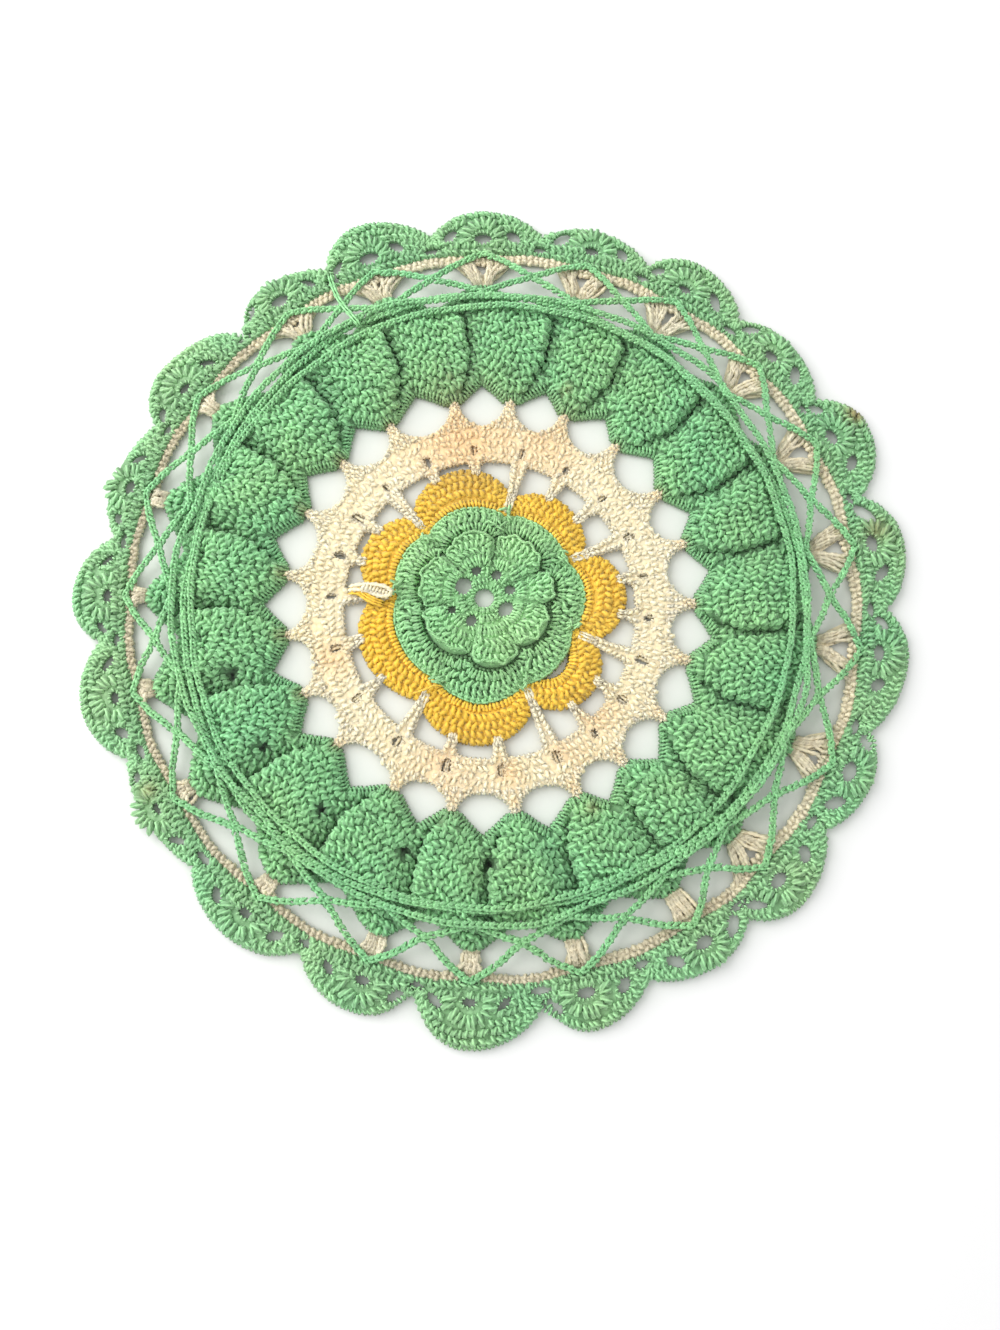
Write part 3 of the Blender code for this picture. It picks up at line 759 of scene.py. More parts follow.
def beside(route, offset):
    """A route moved sideways over the doily."""
    route = np.array(route)
    along = unit(np.gradient(route, axis=0))
    return route + np.cross((0.0, 0.0, 1.0), along) * offset


# An end of thread left at the bottom left, and strands drawn out over the valley at the left
YELLOW_END = (
    spot(216.2, 34.7, 2.8), spot(211.5, 32.0, 4.4), spot(207.5, 29.4, 5.0), spot(202.9, 28.6, 4.0),
)
DRAWN_OUT = (
    spot(272.0, 38.8, 2.6), spot(271.7, 35.5, 3.8), spot(268.8, 33.3, 4.4), spot(265.9, 30.5, 4.4),
    spot(264.5, 28.0, 3.4),
)
yellow_cotton = cotton("yellow_cotton", YELLOW, (0.93, 0.60, 0.08), soft=0.2, groove_shade_depth=0.09)
petal_edge = ring_loop(yellow_outline, 210)
petal_inside = ring_loop(yellow_inner, 140)
fill = list(ring_loop(lambda bearing: (yellow_inner(bearing) + yellow_outline(bearing)) / 2.0, 140))
petal_cloth = cloth(
    "petal_cloth", [petal_edge * WITHIN, petal_inside], yellow_height, fill, 1.4,
    yellow_cotton, sink=-0.15, tone=0.93)
rows = [
    worked(yellow_place, 0.15, POST, 1.06, long=1.45, sway=9.0, tone=1.04, thick=1.08),
    worked(yellow_place, 0.42, LUMP, 1.85, stray=0.02, lift=-0.1, lean=24.0, sway=11.0),
    worked(yellow_place, 0.62, LUMP, 1.9, stray=0.02, lift=-0.1, lean=-24.0, sway=11.0, tone=0.98),
    worked(yellow_place, 0.80, LUMP, 1.95, stray=0.02, lift=-0.1, lean=24.0, sway=12.0, tone=0.97),
    worked(yellow_place, 0.94, LUMP, 2.0, stray=0.02, lift=-0.1, long=0.8, sway=22.0, tone=0.96, thick=0.9),
    edged(petal_edge, yellow_height, 1.1, sway=14.0, tone=0.92),
    edged(petal_inside, yellow_height, 1.1, inward=True, lift=-0.8, sway=14.0),
]
rows += [
    strands([YELLOW_END], 0.36),
    strands([beside(DRAWN_OUT, offset) for offset in (-0.75, 0.0, 0.75)], 0.45),
]
petal_stitches = crochet("petal_stitches", rows, yellow_cotton)
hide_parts("petal_round")


# ---- Lace round ----
# The openwork round, in ecru cotton: 21 bars of loose strands hold the petals, a dense body is worked
# over them with a small gap behind each bar, and 21 points reach out between large round holes.

ECRU = (0.97, 0.86, 0.60)
LACE_INNER = Edge(42.2, 3.0, 156.0)     # inner edge of the body
HOLE_FOOT = Edge(52.0, 2.1, 150.0)      # where the large round holes begin
SPIKE_END = Edge(58.8, 1.6, 123.0)      # ends of the points
CLEAR = 0.35
LACE_TOP = 2.0
BAR_SHARES = (0.0, 0.34, 0.67)          # one bar into each valley, two to each petal
BAR_WIDTH = 2.4
BAR_FLARE = 1.1                         # a bar's foot is wider than its end by this, each side
# A bar's corners: shares of its half-width, and of the way from its end to its foot
BAR_OUTLINE = ((-1.0, 1.0), (-0.5, 0.5), (-0.3, 0.0), (0.3, 0.0), (0.5, 0.5), (1.0, 1.0))
BAR_PITCH = 1.5                         # from one stitch of a bar to the next
GAP_IN = 3.3                            # from the body's inner edge to the small gap behind each bar
SPIKE_WIDTH = 2.2
BAY_STEPS = (0.25, 0.5, 0.75, 0.9, 0.98)    # points along a bay, from its middle towards a spike

# 21 sections: the bearing and reach of each shell and the bearing of the valley after it, then the
# bearings of the large hole in front of it and of the spike after that hole
Section = namedtuple("Section", "shell reach valley hole spike")
SECTIONS = (
    Section(16.5, 119.0, 25.3, 16.0, 23.0),
    Section(32.0, 121.5, 41.5, 33.0, 40.0),
    Section(49.0, 118.5, 58.5, 49.5, 58.5),
    Section(64.5, 122.5, 74.5, 67.0, 74.5),
    Section(82.0, 120.0, 92.0, 83.0, 92.0),
    Section(98.5, 119.0, 110.0, 100.5, 108.0),
    Section(116.5, 117.5, 125.5, 117.5, 125.0),
    Section(135.0, 119.5, 141.5, 134.0, 141.0),
    Section(148.5, 117.5, 157.5, 149.5, 155.5),
    Section(166.0, 120.0, 172.0, 165.0, 172.0),
    Section(182.0, 121.5, 189.5, 180.5, 188.5),
    Section(197.0, 117.0, 206.5, 196.0, 204.5),
    Section(216.0, 115.0, 226.0, 214.5, 224.0),
    Section(236.0, 110.5, 245.0, 232.5, 241.0),
    Section(254.0, 115.5, 263.0, 250.0, 258.5),
    Section(270.0, 116.0, 279.0, 268.0, 276.5),
    Section(287.5, 112.0, 298.5, 286.0, 296.0),
    Section(305.5, 117.5, 318.0, 305.0, 314.0),
    Section(326.0, 116.5, 335.0, 323.5, 331.5),
    Section(341.5, 122.5, 351.5, 341.5, 351.0),
    Section(359.5, 121.0, 368.5, 359.0, 367.0),
)
COUNT = len(SECTIONS)
HOLES = column(SECTIONS, "hole")
SPIKES = column(SECTIONS, "spike")
SHELLS = column(SECTIONS, "shell")
HALF_POINT = np.degrees(SPIKE_WIDTH / 2.0 / SPIKE_END.radius)
STAINS += [Stain(spike, 58.0, 2.2, 0.45) for spike in SPIKES]     # the points' ends have browned


def spike_outline(bearing):
    """Outer edge of the lace round: points with round bays between them."""
    k, _ = phase_in(around(HOLES), bearing)
    turned = (np.asarray(bearing, dtype=float) - HOLES[0]) % TURN + HOLES[0]
    centre = np.where(turned < SPIKES[k], HOLES[k], around(HOLES)[k + 1])
    across = np.abs(turned - centre) / (np.abs(SPIKES[k] - centre) - HALF_POINT)
    bay = 1.0 - np.sqrt(np.clip(1.0 - across ** 2, 0.0, 1.0))
    foot = edge_at(HOLE_FOOT, turned)
    return foot + (edge_at(SPIKE_END, turned) - foot) * bay


def lace_body(bearing):
    """Inner edge of the body, clear of the petals."""
    return np.maximum(edge_at(LACE_INNER, bearing), yellow_outline(bearing) + 2.0 * CLEAR)


def level(height):
    """A flat top at one height, whatever the bearing and the radius."""
    return lambda bearing, radius: height + 0.0 * radius


def lace_place(bearing, share):
    """A place on the body of the lace, from its inner edge to the large holes."""
    inner = lace_body(bearing)
    return spot(bearing, inner + (edge_at(HOLE_FOOT, bearing) - inner) * share, LACE_TOP)


def lace_point(bearing, radius):
    """A place on the lace by its radius."""
    return spot(bearing, radius, LACE_TOP)


def bar_ends(bearing):
    """The radius of a bar's end on its petal, and of its foot on the body."""
    return float(yellow_outline(bearing)) - 0.4, float(lace_body(bearing))


def bar_outline(bearing, after):
    """The inner edge of the round, along a bar and on to the next one."""
    end, body = bar_ends(bearing)
    half = np.degrees(BAR_WIDTH / 2.0 / body) + np.degrees(BAR_FLARE / body)
    loop = [spot(bearing + turn * half, end + (body - end) * share) for turn, share in BAR_OUTLINE]
    for between in np.linspace(bearing + half, after - half, 6)[1:-1]:
        loop.append(spot(between, float(lace_body(between))))
    return loop


def bar_stitches(bearing):
    """Bearing and radius of the stitches up both sides of a bar."""
    end, body = bar_ends(bearing)
    length = body + 1.0 - end
    found = []
    for share in np.arange(0.0, 1.0, BAR_PITCH / length):
        out = end - 0.2 + length * share
        spread = np.degrees((0.45 + 1.15 * share ** 2) / out)
        found += [(bearing - spread, out), (bearing + spread, out)]
    return found


def bar_strand(bearing, side):
    """One loose strand of a bar, from over its petal down onto the body."""
    end, body = bar_ends(bearing)
    route = []
    for share in np.linspace(0.0, 1.0, 5):
        spread = side * (0.75 + 1.1 * share ** 2) + hand.normal(0.0, 0.18)
        out = end - 0.9 + (body + 1.4 - end + 0.9) * share
        height = 2.9 - 1.1 * min(share * 2.0, 1.0) + 0.5 * max(share - 0.7, 0.0) + hand.normal(0.0, 0.12)
        route.append(spot(bearing + np.degrees(spread / out), out, height))
    return route


def point_stitches(spike):
    """Bearing and radius of the stitches that fill one of the points."""
    fan = spike + np.linspace(-9.0, 9.0, 181)
    reach = spike_outline(fan)
    end = float(edge_at(SPIKE_END, spike))
    found = []
    for radius in np.arange(float(edge_at(HOLE_FOOT, spike)) + 0.5, end + 0.9, 1.25):
        held = fan[reach >= min(radius, end - 0.1)]
        half = (held[-1] - held[0]) / 2.0
        count = max(1, int(round(2.0 * np.radians(half) * radius / 1.9)))
        for turn in (np.arange(count) + 0.5) / count * 2.0 - 1.0:
            found.append((spike + turn * half * (count > 1), radius))
    return found


lace_height = level(LACE_TOP)
bars = [
    valley + (after - valley) * share for valley, after in zip(VALLEYS, VALLEYS[1:]) for share in BAR_SHARES
]
inner_loop, bar_routes, bar_seats = [], [], []
for bearing, after in zip(bars, around(bars)[1:]):
    inner_loop += bar_outline(bearing, after)
    bar_seats += bar_stitches(bearing)
    bar_routes += [bar_strand(bearing, side) for side in (-1.1, 0.0, 1.1)]
outer_bearings = []
for hole, before, spike in zip(HOLES, np.append(SPIKES[-1] - TURN, SPIKES), SPIKES):
    outer_bearings += [hole - step * (hole - before - HALF_POINT) for step in BAY_STEPS[::-1]]
    outer_bearings += [hole + step * (spike - hole - HALF_POINT) for step in (0.0, *BAY_STEPS)]
    outer_bearings += [spike - HALF_POINT, spike + HALF_POINT]
outer_bearings = np.array(outer_bearings)
outer_loop = spot(outer_bearings, spike_outline(outer_bearings))
inner_loop = np.array(inner_loop)

# Behind each bar is a small gap, with a few threads that run through under it
lace_gaps, lace_clearings, under = [], [], []
for bearing, grown in zip(bars, hand.uniform(0.8, 1.15, len(bars))):
    middle = spot(bearing, float(lace_body(bearing)) + GAP_IN)
    gap = oval(middle, 1.3 * grown, 1.9 * grown, bearing)
    lace_gaps.append(gap + hand.normal(0.0, 0.22, gap.shape) * (1.0, 1.0, 0.0))
    lace_clearings.append(oval(middle, 1.8 * grown + 0.5, 2.2 * grown + 0.7, bearing))
for bearing in bars:
    out = float(lace_body(bearing)) + GAP_IN
    for offset in (-1.3, -0.4, 0.5, 1.4):
        at = bearing + np.degrees((offset + hand.normal(0.0, 0.25)) / float(lace_body(bearing)))
        middle = spot(at + hand.normal(0.0, 0.5), out, 1.1)
        under.append([spot(at, out - 3.4, 0.9), middle, spot(at, out + 3.4, 0.9)])

# Here and there a stitch is left out near the large holes
missed = []
for bearing in bars:
    place = spot(bearing + hand.uniform(2.0, 15.0), float(lace_body(bearing)) + hand.uniform(4.5, 7.5))
    missed.append(oval(place, 1.0, 1.3, 0.0))
ecru_cotton = cotton(
    "ecru_cotton", ECRU, (0.95, 0.79, 0.48), (0.80, 0.49, 0.23), soft=0.8, fibres=0.3, groove_shade_depth=0.05)
lace_cloth = cloth(
    "lace_cloth", [outer_loop, inner_loop, *lace_gaps], lace_height, [], 1.4,
    ecru_cotton, sink=-0.2, tone=0.97)
points = np.array([stitch for spike in SPIKES for stitch in point_stitches(spike)])
bar_seats = np.array(bar_seats)
LaceRow = namedtuple("LaceRow", "share pitch stray long lean sway thick")
LACE_ROWS = (
    LaceRow(0.10, 1.9, 0.05, 0.7, 0.0, 40.0, 0.78),
    LaceRow(0.31, 1.7, 0.04, 1.0, 16.0, 20.0, 0.80),
    LaceRow(0.54, 1.9, 0.06, 0.8, 0.0, 30.0, 0.82),
    LaceRow(0.76, 1.7, 0.04, 1.0, -16.0, 20.0, 0.80),
    LaceRow(0.97, 1.9, 0.06, 0.7, 0.0, 60.0, 0.75),
)
rows = []
for row in LACE_ROWS:
    rows.append(worked(
        lace_place, row.share, LUMP, row.pitch, lace_clearings if row.share < 0.6 else missed, row.stray,
        long=row.long, lean=row.lean, lift=-0.15, sway=row.sway, thick=row.thick))
rows += [
    stamp(LUMP, seats(lace_point, *points.T), lift=-0.1, long=0.8, sway=22.0, thick=0.75),
    edged(outer_loop, lace_height, 1.3, sway=24.0, thick=0.8),
    edged(inner_loop, lace_height, 1.35, inward=True, sway=24.0, thick=0.8),
    strands(bar_routes, 0.55),
    strands(under, 0.55, tone=0.98),
    stamp(LUMP, seats(lace_point, *bar_seats.T), lift=0.15, long=0.65, sway=22.0, thick=0.72),
]
for gap in lace_gaps:
    rows.append(edged(gap, lace_height, 1.2, inward=True, long=0.7, sway=24.0, tone=0.85, thick=0.75))

# A slack loop of this thread lies over the same valley at the left, stitched across
SLACK_LOOP = (
    spot(273.9, 38.6, 2.8), spot(274.7, 34.6, 4.0), spot(274.8, 30.9, 4.9), spot(273.6, 27.6, 5.3),
    spot(270.8, 26.0, 5.4), spot(268.4, 27.2, 5.3), spot(268.9, 29.8, 5.0), spot(271.2, 32.6, 4.6),
    spot(272.3, 36.0, 3.8), spot(272.3, 38.9, 2.8),
)
rows.append(strands([SLACK_LOOP], 0.72, steps=24))
crossing = np.linspace(0.0, 1.0, 8)
across_loop = seats(
    lambda bearing, radius: spot(bearing, radius, 4.9), 273.2 - 2.6 * crossing, 34.0 - 6.6 * crossing)
rows.append(stamp(POST, across_loop, lean=60.0, sway=8.0, thick=1.1))
lace_stitches = crochet("lace_stitches", rows, ecru_cotton)
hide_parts("lace_round")


# ---- Leaf round ----
# The thick part: 21 puffed leaves worked side by side in green cotton. A band of posts edges each
# large hole, close rows of short stitches fill the leaf, and its clockwise side folds over the next.

HOLE_CREST = Edge(64.9, 1.4, 137.0)     # where the large round holes end
LEAF_NOTCH = Edge(88.6, 1.4, 70.0)      # outer edge of the round, behind the middle of each leaf
LEAF_TIP = Edge(95.2, 1.1, 262.0)       # its outer tips, at the creases
LEAF_SHARES = (0.0, 0.13, 0.36, 0.60, 0.82, 1.0)    # from the hole to the tip
CROWN = (2.2, 4.0, 5.6, 5.9, 4.3, 2.0)              # height along the middle of a leaf
CREASE = (1.6, 1.9, 2.1, 2.1, 2.0, 1.7)             # height along the crease between two leaves
FOLD_SHARES = (0.0, 0.12, 0.30, 0.75, 1.0)          # from the hole to the tip
FOLD_PHASES = (0.58, 0.67, 0.80, 0.76, 0.58)        # where the fold lies across the leaf
LEAF_POINT = 0.74            # share of a hole's half-width at which the leaf's blunt point begins
GREEN = (0.285, 0.70, 0.33)
LEAF_DEPTH = 30.0
ROW_DEPTH = 2.05             # from one row of stitches to the next
BAND = 2.4                   # depth of the posts that edge the holes

# Dark slits between leaves: bearing and radius
SLITS = ((179.0, 74.6), (196.6, 74.0), (216.0, 74.0), (234.4, 74.0), (252.0, 73.4))

crown_curve = np.polyfit(LEAF_SHARES, CROWN, 4)
crease_curve = np.polyfit(LEAF_SHARES, CREASE, 3)
puffed = 1.0 + 0.12 * hand.uniform(-1.0, 0.4, COUNT)      # some leaves are puffed less than others
leaning = hand.uniform(-0.05, 0.04, COUNT)                # and some folds lean


def alternate(first, second):
    """Two lists of stops, one inside the other, and the first stop again a turn further on."""
    stops = np.empty(2 * COUNT + 1)
    stops[0::2] = around(first)
    stops[1::2] = second
    return stops


leaf_inner_stops = alternate(HOLES, SPIKES)
leaf_outer_stops = alternate(SHELLS, (SHELLS + around(SHELLS)[1:]) / 2.0)


def puff(across, share):
    """How far a leaf is drawn up, 0 to 1, and how deep the fold beside it is cut."""
    leaf = across.astype(int) % COUNT
    phase = across % 1.0
    fold = np.interp(share, FOLD_SHARES, FOLD_PHASES) + leaning[leaf] * ease(share * 4.0)
    past = (phase - fold) % 1.0
    drawn = np.maximum(1.0 - ease(past / 0.06), ease((past - 0.06) / 0.38) ** 0.7)
    hollow = ease((share - 0.66) / 0.2) * np.exp(-((past - 0.14) / 0.15) ** 2)
    drawn = drawn * (1.0 - 0.75 * hollow)
    cut = np.exp(-((past - 0.07) / 0.040) ** 2) * np.sin(np.pi * np.clip(share, 0.02, 0.98)) ** 0.4
    return drawn, cut


def leaf_place(across, share):
    """A place on the leaves: across counts them round the doily, share goes from hole to tip."""
    across = np.asarray(across, dtype=float) % COUNT
    stops = np.arange(2 * COUNT + 1) / 2.0
    inner_bearing = np.interp(across, stops, leaf_inner_stops)
    outer_bearing = np.interp(across, stops, leaf_outer_stops)
    side = np.abs(across % 1.0 - 0.5) * 2.0
    crest = edge_at(HOLE_CREST, inner_bearing)
    point = edge_at(SPIKE_END, inner_bearing) + CLEAR
    inner = crest + (point - crest) * np.clip((1.0 - side) / LEAF_POINT, 0.0, 1.0)
    notch = edge_at(LEAF_NOTCH, outer_bearing)
    tip = edge_at(LEAF_TIP, outer_bearing)
    outer = notch + (tip - notch) * np.clip((side - 0.1) / 0.75, 0.0, 1.0)
    bearing = inner_bearing + (outer_bearing - inner_bearing) * share
    radius = inner + (outer - inner) * share
    drawn, cut = puff(across, share)
    crown = np.polyval(crown_curve, share) * puffed[across.astype(int) % COUNT]
    crease = np.polyval(crease_curve, share)
    lumps = 0.25 * np.sin(across * 17.3 + share * 9.0) * np.sin(share * 21.0 + across * 5.1)
    height = crease + (crown - crease + lumps) * drawn - 1.9 * cut
    place = spot(bearing, radius, height)
    for slit in SLITS:
        away = np.linalg.norm(place[..., :2] - spot(*slit)[:2], axis=-1)
        place[..., 2] -= 2.2 * np.exp(-((away / 1.3) ** 2))
    return place


def leaf_edge(share, steps):
    """A closed line round the leaves, with some steps across each leaf."""
    return leaf_place(np.arange(COUNT * steps) / steps, share)


def off_slits(points):
    """How far each point is from the nearest dark slit."""
    return np.min([np.linalg.norm(points[:, :2] - spot(*slit)[:2], axis=1) for slit in SLITS], axis=0)


green_cotton = cotton("green_cotton", GREEN, (0.36, 0.71, 0.31))
top = np.array([leaf_edge(share, 18) for share in np.linspace(0.0, 1.0, 16)])
top[..., 2] = np.maximum(top[..., 2] - 0.35, 0.3)
low = top[::-1].copy()
low[..., 2] = np.maximum(low[..., 2] - 1.8, CLOTH_CLEAR)
verts = np.concatenate([top, low])
strips, count = verts.shape[:2]
verts = verts.reshape(-1, 3)
faces = []
for r in range(strips):
    here, there = r * count, (r + 1) % strips * count
    for i in range(count):
        after = (i + 1) % count
        faces.append((here + after, there + after, there + i, here + i))
mesh = bpy.data.meshes.new("leaf_cloth")
mesh.from_pydata(to_metres(verts).tolist(), [], faces)
mesh.shade_smooth()
# The cloth is painted dark as the shade between the stitches, and darker still as painted shade in the slits
tone = 0.55 - 0.42 * np.exp(-((off_slits(verts) / 1.9) ** 2))
mark(mesh, tone=tone, soil=soiling(verts), knobby=np.ones(len(verts)))
leaf_cloth = as_piece("leaf_cloth", mesh, green_cotton)

# The posts that edge the holes stand across the edge, low beside the fold
hole_edge = leaf_edge(0.0, 48)
across = row_of(leaf_place, 0.0, 1.04, span=(0.0, COUNT), uneven=0.1)
start = leaf_place(across, 0.0)
along = unit(leaf_place(across + 0.012, 0.0) - leaf_place(across - 0.012, 0.0))
inwards = square_to(along, leaf_place(across, 0.13) - start)
edge_seats = Seats(start + inwards * 1.4 + (0.0, 0.0, 0.15), along, inwards, np.cross(along, inwards))
near_rows = [
    stamp(POST, edge_seats, long=1.3, sway=7.0, thick=1.04),
    edged(hole_edge, level(1.7), 1.1, inward=True, tone=0.92),
]
far_rows = []
row_count = int(LEAF_DEPTH / ROW_DEPTH)
for k in range(1, row_count):
    share = (k + 0.5) / row_count
    across = row_of(leaf_place, share, 1.9, span=(0.0, COUNT), uneven=0.12)
    slant = np.clip(share + hand.normal(0.0, 0.010, len(across)), 0.01, 0.985)
    at = seats(leaf_place, across, slant)
    off = np.linalg.norm(at.here[:, None, :2] - hole_edge[None, :, :2], axis=-1).min(axis=1)
    slit = off_slits(at.here)
    keep = (off > BAND) & (slit > 1.9)
    # The stitches' tone is painted shade: darker in the low parts, in the fold's cut and round the slits,
    # and lighter on the drawn-up crown
    drawn, cut = puff(across, share)
    tone = (0.76 + 0.29 * drawn - 0.36 * cut - 0.2 * np.exp(-((slit / 3.0) ** 2)))[keep]
    row = stamp(LUMP, only(at, keep), long=0.85, lean=30.0 * (-1) ** k, sway=12.0, tone=tone, thick=1.08)
    (near_rows if share < 0.5 else far_rows).append(row)
far_rows.append(edged(leaf_edge(1.0, 24), level(1.8), 1.2, sway=14.0, tone=0.85))
leaf_stitches = crochet("leaf_stitches", near_rows, green_cotton)
leaf_tip_stitches = crochet("leaf_tip_stitches", far_rows, green_cotton)
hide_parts("leaf_round")


# ---- Fan band ----
# Ecru again: a fan of long loops stands on each leaf tip, and arcs of chain join the fans. The
# green shells are worked over these arcs.

SHELL_ROOT = Edge(104.3, 2.5, 69.0)     # inner edge of the shells
ARC_WIDTH = 2.6
ARC_THINNER = 0.9            # where the fans are drawn together
ARC_BOW = 1.0                # the arcs swing out between two shells
ARC_TOP = 1.4
FAN_ECRU = (0.80, 0.735, 0.53)          # greyer than the lace
FAN_HALF = 6.6
FAN_FOOT = 1.1
DRAWN_FANS = (141.0, 318.0)  # the fans are drawn together between these bearings, and open elsewhere
FULL_FAN = 1.34
SMALL_FAN = 0.62
FAN_STRANDS = 8              # in each arm of a fan
FAN_CLEFT = 0.14             # share of an open fan's half-width that is free of strands in its middle


def shell_root(bearing):
    """Inner edge of the shell border, which swings out between two shells."""
    phase = phase_in(around(SHELLS), bearing)[1]
    return edge_at(SHELL_ROOT, bearing) + ARC_BOW * np.sin(np.pi * phase) ** 2


def is_drawn(bearing):
    """Whether the fans at a bearing are drawn together."""
    return (bearing > DRAWN_FANS[0]) & (bearing < DRAWN_FANS[1])


def arc_shade(bearing):
    """The arcs are duller where the fans are drawn together."""
    return np.where(is_drawn(bearing), 0.78, 1.0)


def arc_outer(bearing):
    """Outer edge of the arcs."""
    return shell_root(bearing) - CLEAR


def arc_inner(bearing):
    """Inner edge of the arcs, which are narrow where the fans are drawn together."""
    turned = np.asarray(bearing, dtype=float) % TURN
    drawn = ease((turned - 165.0) / 8.0) * ease((DRAWN_FANS[1] - turned) / 8.0)
    return arc_outer(bearing) - ARC_WIDTH + ARC_THINNER * drawn


def arc_place(bearing, share):
    """A place on the arcs, from their inner to their outer edge."""
    outer = arc_outer(bearing)
    return spot(bearing, outer - (outer - arc_inner(bearing)) * (1.0 - share), ARC_TOP)


def fan_outline(shell, half, foot, tip):
    """The inner edge of the band along one fan: from the arc in to the leaf's tip and out again."""
    loop = []
    corners = (
        (-half, None), (-half * 0.56, 3.0), (-foot, 0.0), (foot, 0.0), (half * 0.56, 3.0), (half, None),
    )
    for turn, rise in corners:
        arc = float(arc_inner(shell + turn))
        loop.append(spot(shell + turn, arc if rise is None else min(tip + rise, arc)))
    return loop


def fan_strand(shell, arm, foot, tip):
    """One long loop of a fan, from the leaf's tip to the arc."""
    lift = hand.uniform(0.2, 0.9)
    stop = float(shell_root(shell + arm)) - 0.6
    stray = hand.normal(0.0, 0.4, 2)
    return [
        spot(shell + foot, tip - 0.9, 1.1),
        spot(shell + arm * 0.47 + stray[0], tip + (stop - tip) * 0.34, 1.7 + lift),
        spot(shell + arm * 0.83 + stray[1], tip + (stop - tip) * 0.72, 1.6 + lift),
        spot(shell + arm, stop, 0.9),
    ]


inner_loop, clefts, fan_routes = [], [], []
for shell, after in zip(SHELLS, around(SHELLS)[1:]):
    tip = float(edge_at(LEAF_TIP, shell)) + CLEAR
    foot = np.degrees(FAN_FOOT / LEAF_TIP.radius)
    is_open = not is_drawn(shell)
    half = np.degrees(FAN_HALF * (FULL_FAN if is_open else SMALL_FAN) / SHELL_ROOT.radius)
    inner_loop += fan_outline(shell, half, foot, tip)
    if is_open:
        rim = float(arc_outer(shell)) - ARC_WIDTH + 0.6
        side = half * 0.36
        clefts.append(np.array([spot(shell - side, rim), spot(shell, tip + 3.4), spot(shell + side, rim)]))
    middle = (shell + after) / 2.0
    inner_loop += [spot(middle + turn, float(arc_inner(middle + turn))) for turn in (-2.0, 0.0, 2.0)]
    for side in (-1.0, 1.0):
        for share in np.linspace(0.2, 1.0, FAN_STRANDS) + hand.normal(0.0, 0.03, FAN_STRANDS):
            arm = side * half * ((FAN_CLEFT if is_open else 0.0) + (1.0 - FAN_CLEFT) * share)
            fan_routes.append(fan_strand(shell, arm, side * foot * share * 1.8, tip))
outer_loop = ring_loop(arc_outer, 210)
fan_cotton = cotton("fan_cotton", FAN_ECRU, (0.78, 0.67, 0.45), (0.75, 0.48, 0.24), soft=0.3, groove_shade_depth=0.06)
fan_cloth = cloth(
    "fan_cloth", [outer_loop, np.array(inner_loop), *clefts], level(1.3), [], 0.9,
    fan_cotton, sink=-0.4, tone=0.9)
rows = [
    strands(fan_routes, 0.68, steps=9, uneven=0.07),
    worked(arc_place, 0.22, LUMP, 1.75, shade=arc_shade, stray=0.10, long=0.7, sway=34.0, thick=0.88),
    worked(arc_place, 0.78, LUMP, 1.75, shade=arc_shade, stray=0.10, long=0.7, sway=34.0, thick=0.88),
]
fan_stitches = crochet("fan_stitches", rows, fan_cotton)
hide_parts("fan_band")


# ---- Shell border ----
# 21 shells in green cotton round the edge. Each is a fan of posts round a small gap, with rows of
# short stitches below it, and an edging that stands off the fan at both sides.

BORDER_GREEN = (0.34, 0.75, 0.365)
NECK = 4.6                   # depth of the border between two shells
BIG_SLIT = 82.0              # this shell has a large slit before its fan
SHELL_ROUND = 0.62           # the lower, the squarer a shell's outline
BORDER_ROWS = (0.08, 0.22, 0.36, 0.50, 0.64, 0.78, 0.91)     # of short stitches, from the inner edge out
SHELL_EYE = 5.3              # from a shell's inner edge to the middle of its gap
TIGHT_SHELLS = (170.0, 318.0)           # between these bearings the gaps are smaller
POSTS = 11
FAN_REACH = 7.5              # how far the posts reach from the middle
POST_HEIGHT = 2.95

# Valleys that run in deeper than the rest
Nick = namedtuple("Nick", "bearing depth")
NICKS = (
    Nick(318.5, 3.2), Nick(190.0, 2.5), Nick(206.5, 1.7), Nick(280.0, 1.4), Nick(74.5, 1.3),
    Nick(171.5, 1.0),
)


def border_track(across):
    """Bearing, inner and outer edge of the border: across counts the shells."""
    across = np.asarray(across, dtype=float) % COUNT
    valleys = column(SECTIONS, "valley")
    stops = np.empty(2 * COUNT + 1)
    stops[0::2] = np.append(valleys[-1] - TURN, valleys)
    stops[1::2] = SHELLS
    bearing = np.interp(across, np.arange(2 * COUNT + 1) / 2.0, stops)
    valley = edge_at(SHELL_ROOT, bearing) + ARC_BOW + NECK
    reach = column(SECTIONS, "reach")[across.astype(int) % COUNT]
    outer = valley + (reach - valley) * np.sin(np.pi * (across % 1.0)) ** SHELL_ROUND
    for nick in NICKS:
        away = (bearing - nick.bearing + 180.0) % TURN - 180.0
        outer = outer - nick.depth * np.exp(-(away / 2.6) ** 2)
    return bearing, shell_root(bearing), outer


def border_place(across, share):
    """A place on the border, from its inner edge to its outer one."""
    bearing, root, outer = border_track(across)
    arch = np.sin(np.pi * (np.asarray(across) % 1.0))
    rise = 1.0 + 1.2 * arch * np.sin(np.pi * np.clip(share, 0.0, 1.0))
    return spot(bearing, root + (outer - root) * share, 0.9 + rise)


def border_height(bearing, radius):
    """Top of the border: each shell is a little domed."""
    phase = phase_in(around(column(SECTIONS, "valley")), bearing)[1]
    share = np.clip((radius - shell_root(bearing)) / 14.0, 0.0, 1.0)
    return 1.9 + 1.2 * np.sin(np.pi * phase) * np.sin(np.pi * share)


def open_gap(middle, wide, deep, facing, wider=0.5, deeper=0.5):
    """Open a gap in the border, and keep the rows of stitches clear of it."""
    shell_gaps.append(oval(middle, wide, deep, facing))
    shell_clearings.append(oval(middle, wide + wider, deep + deeper, facing))


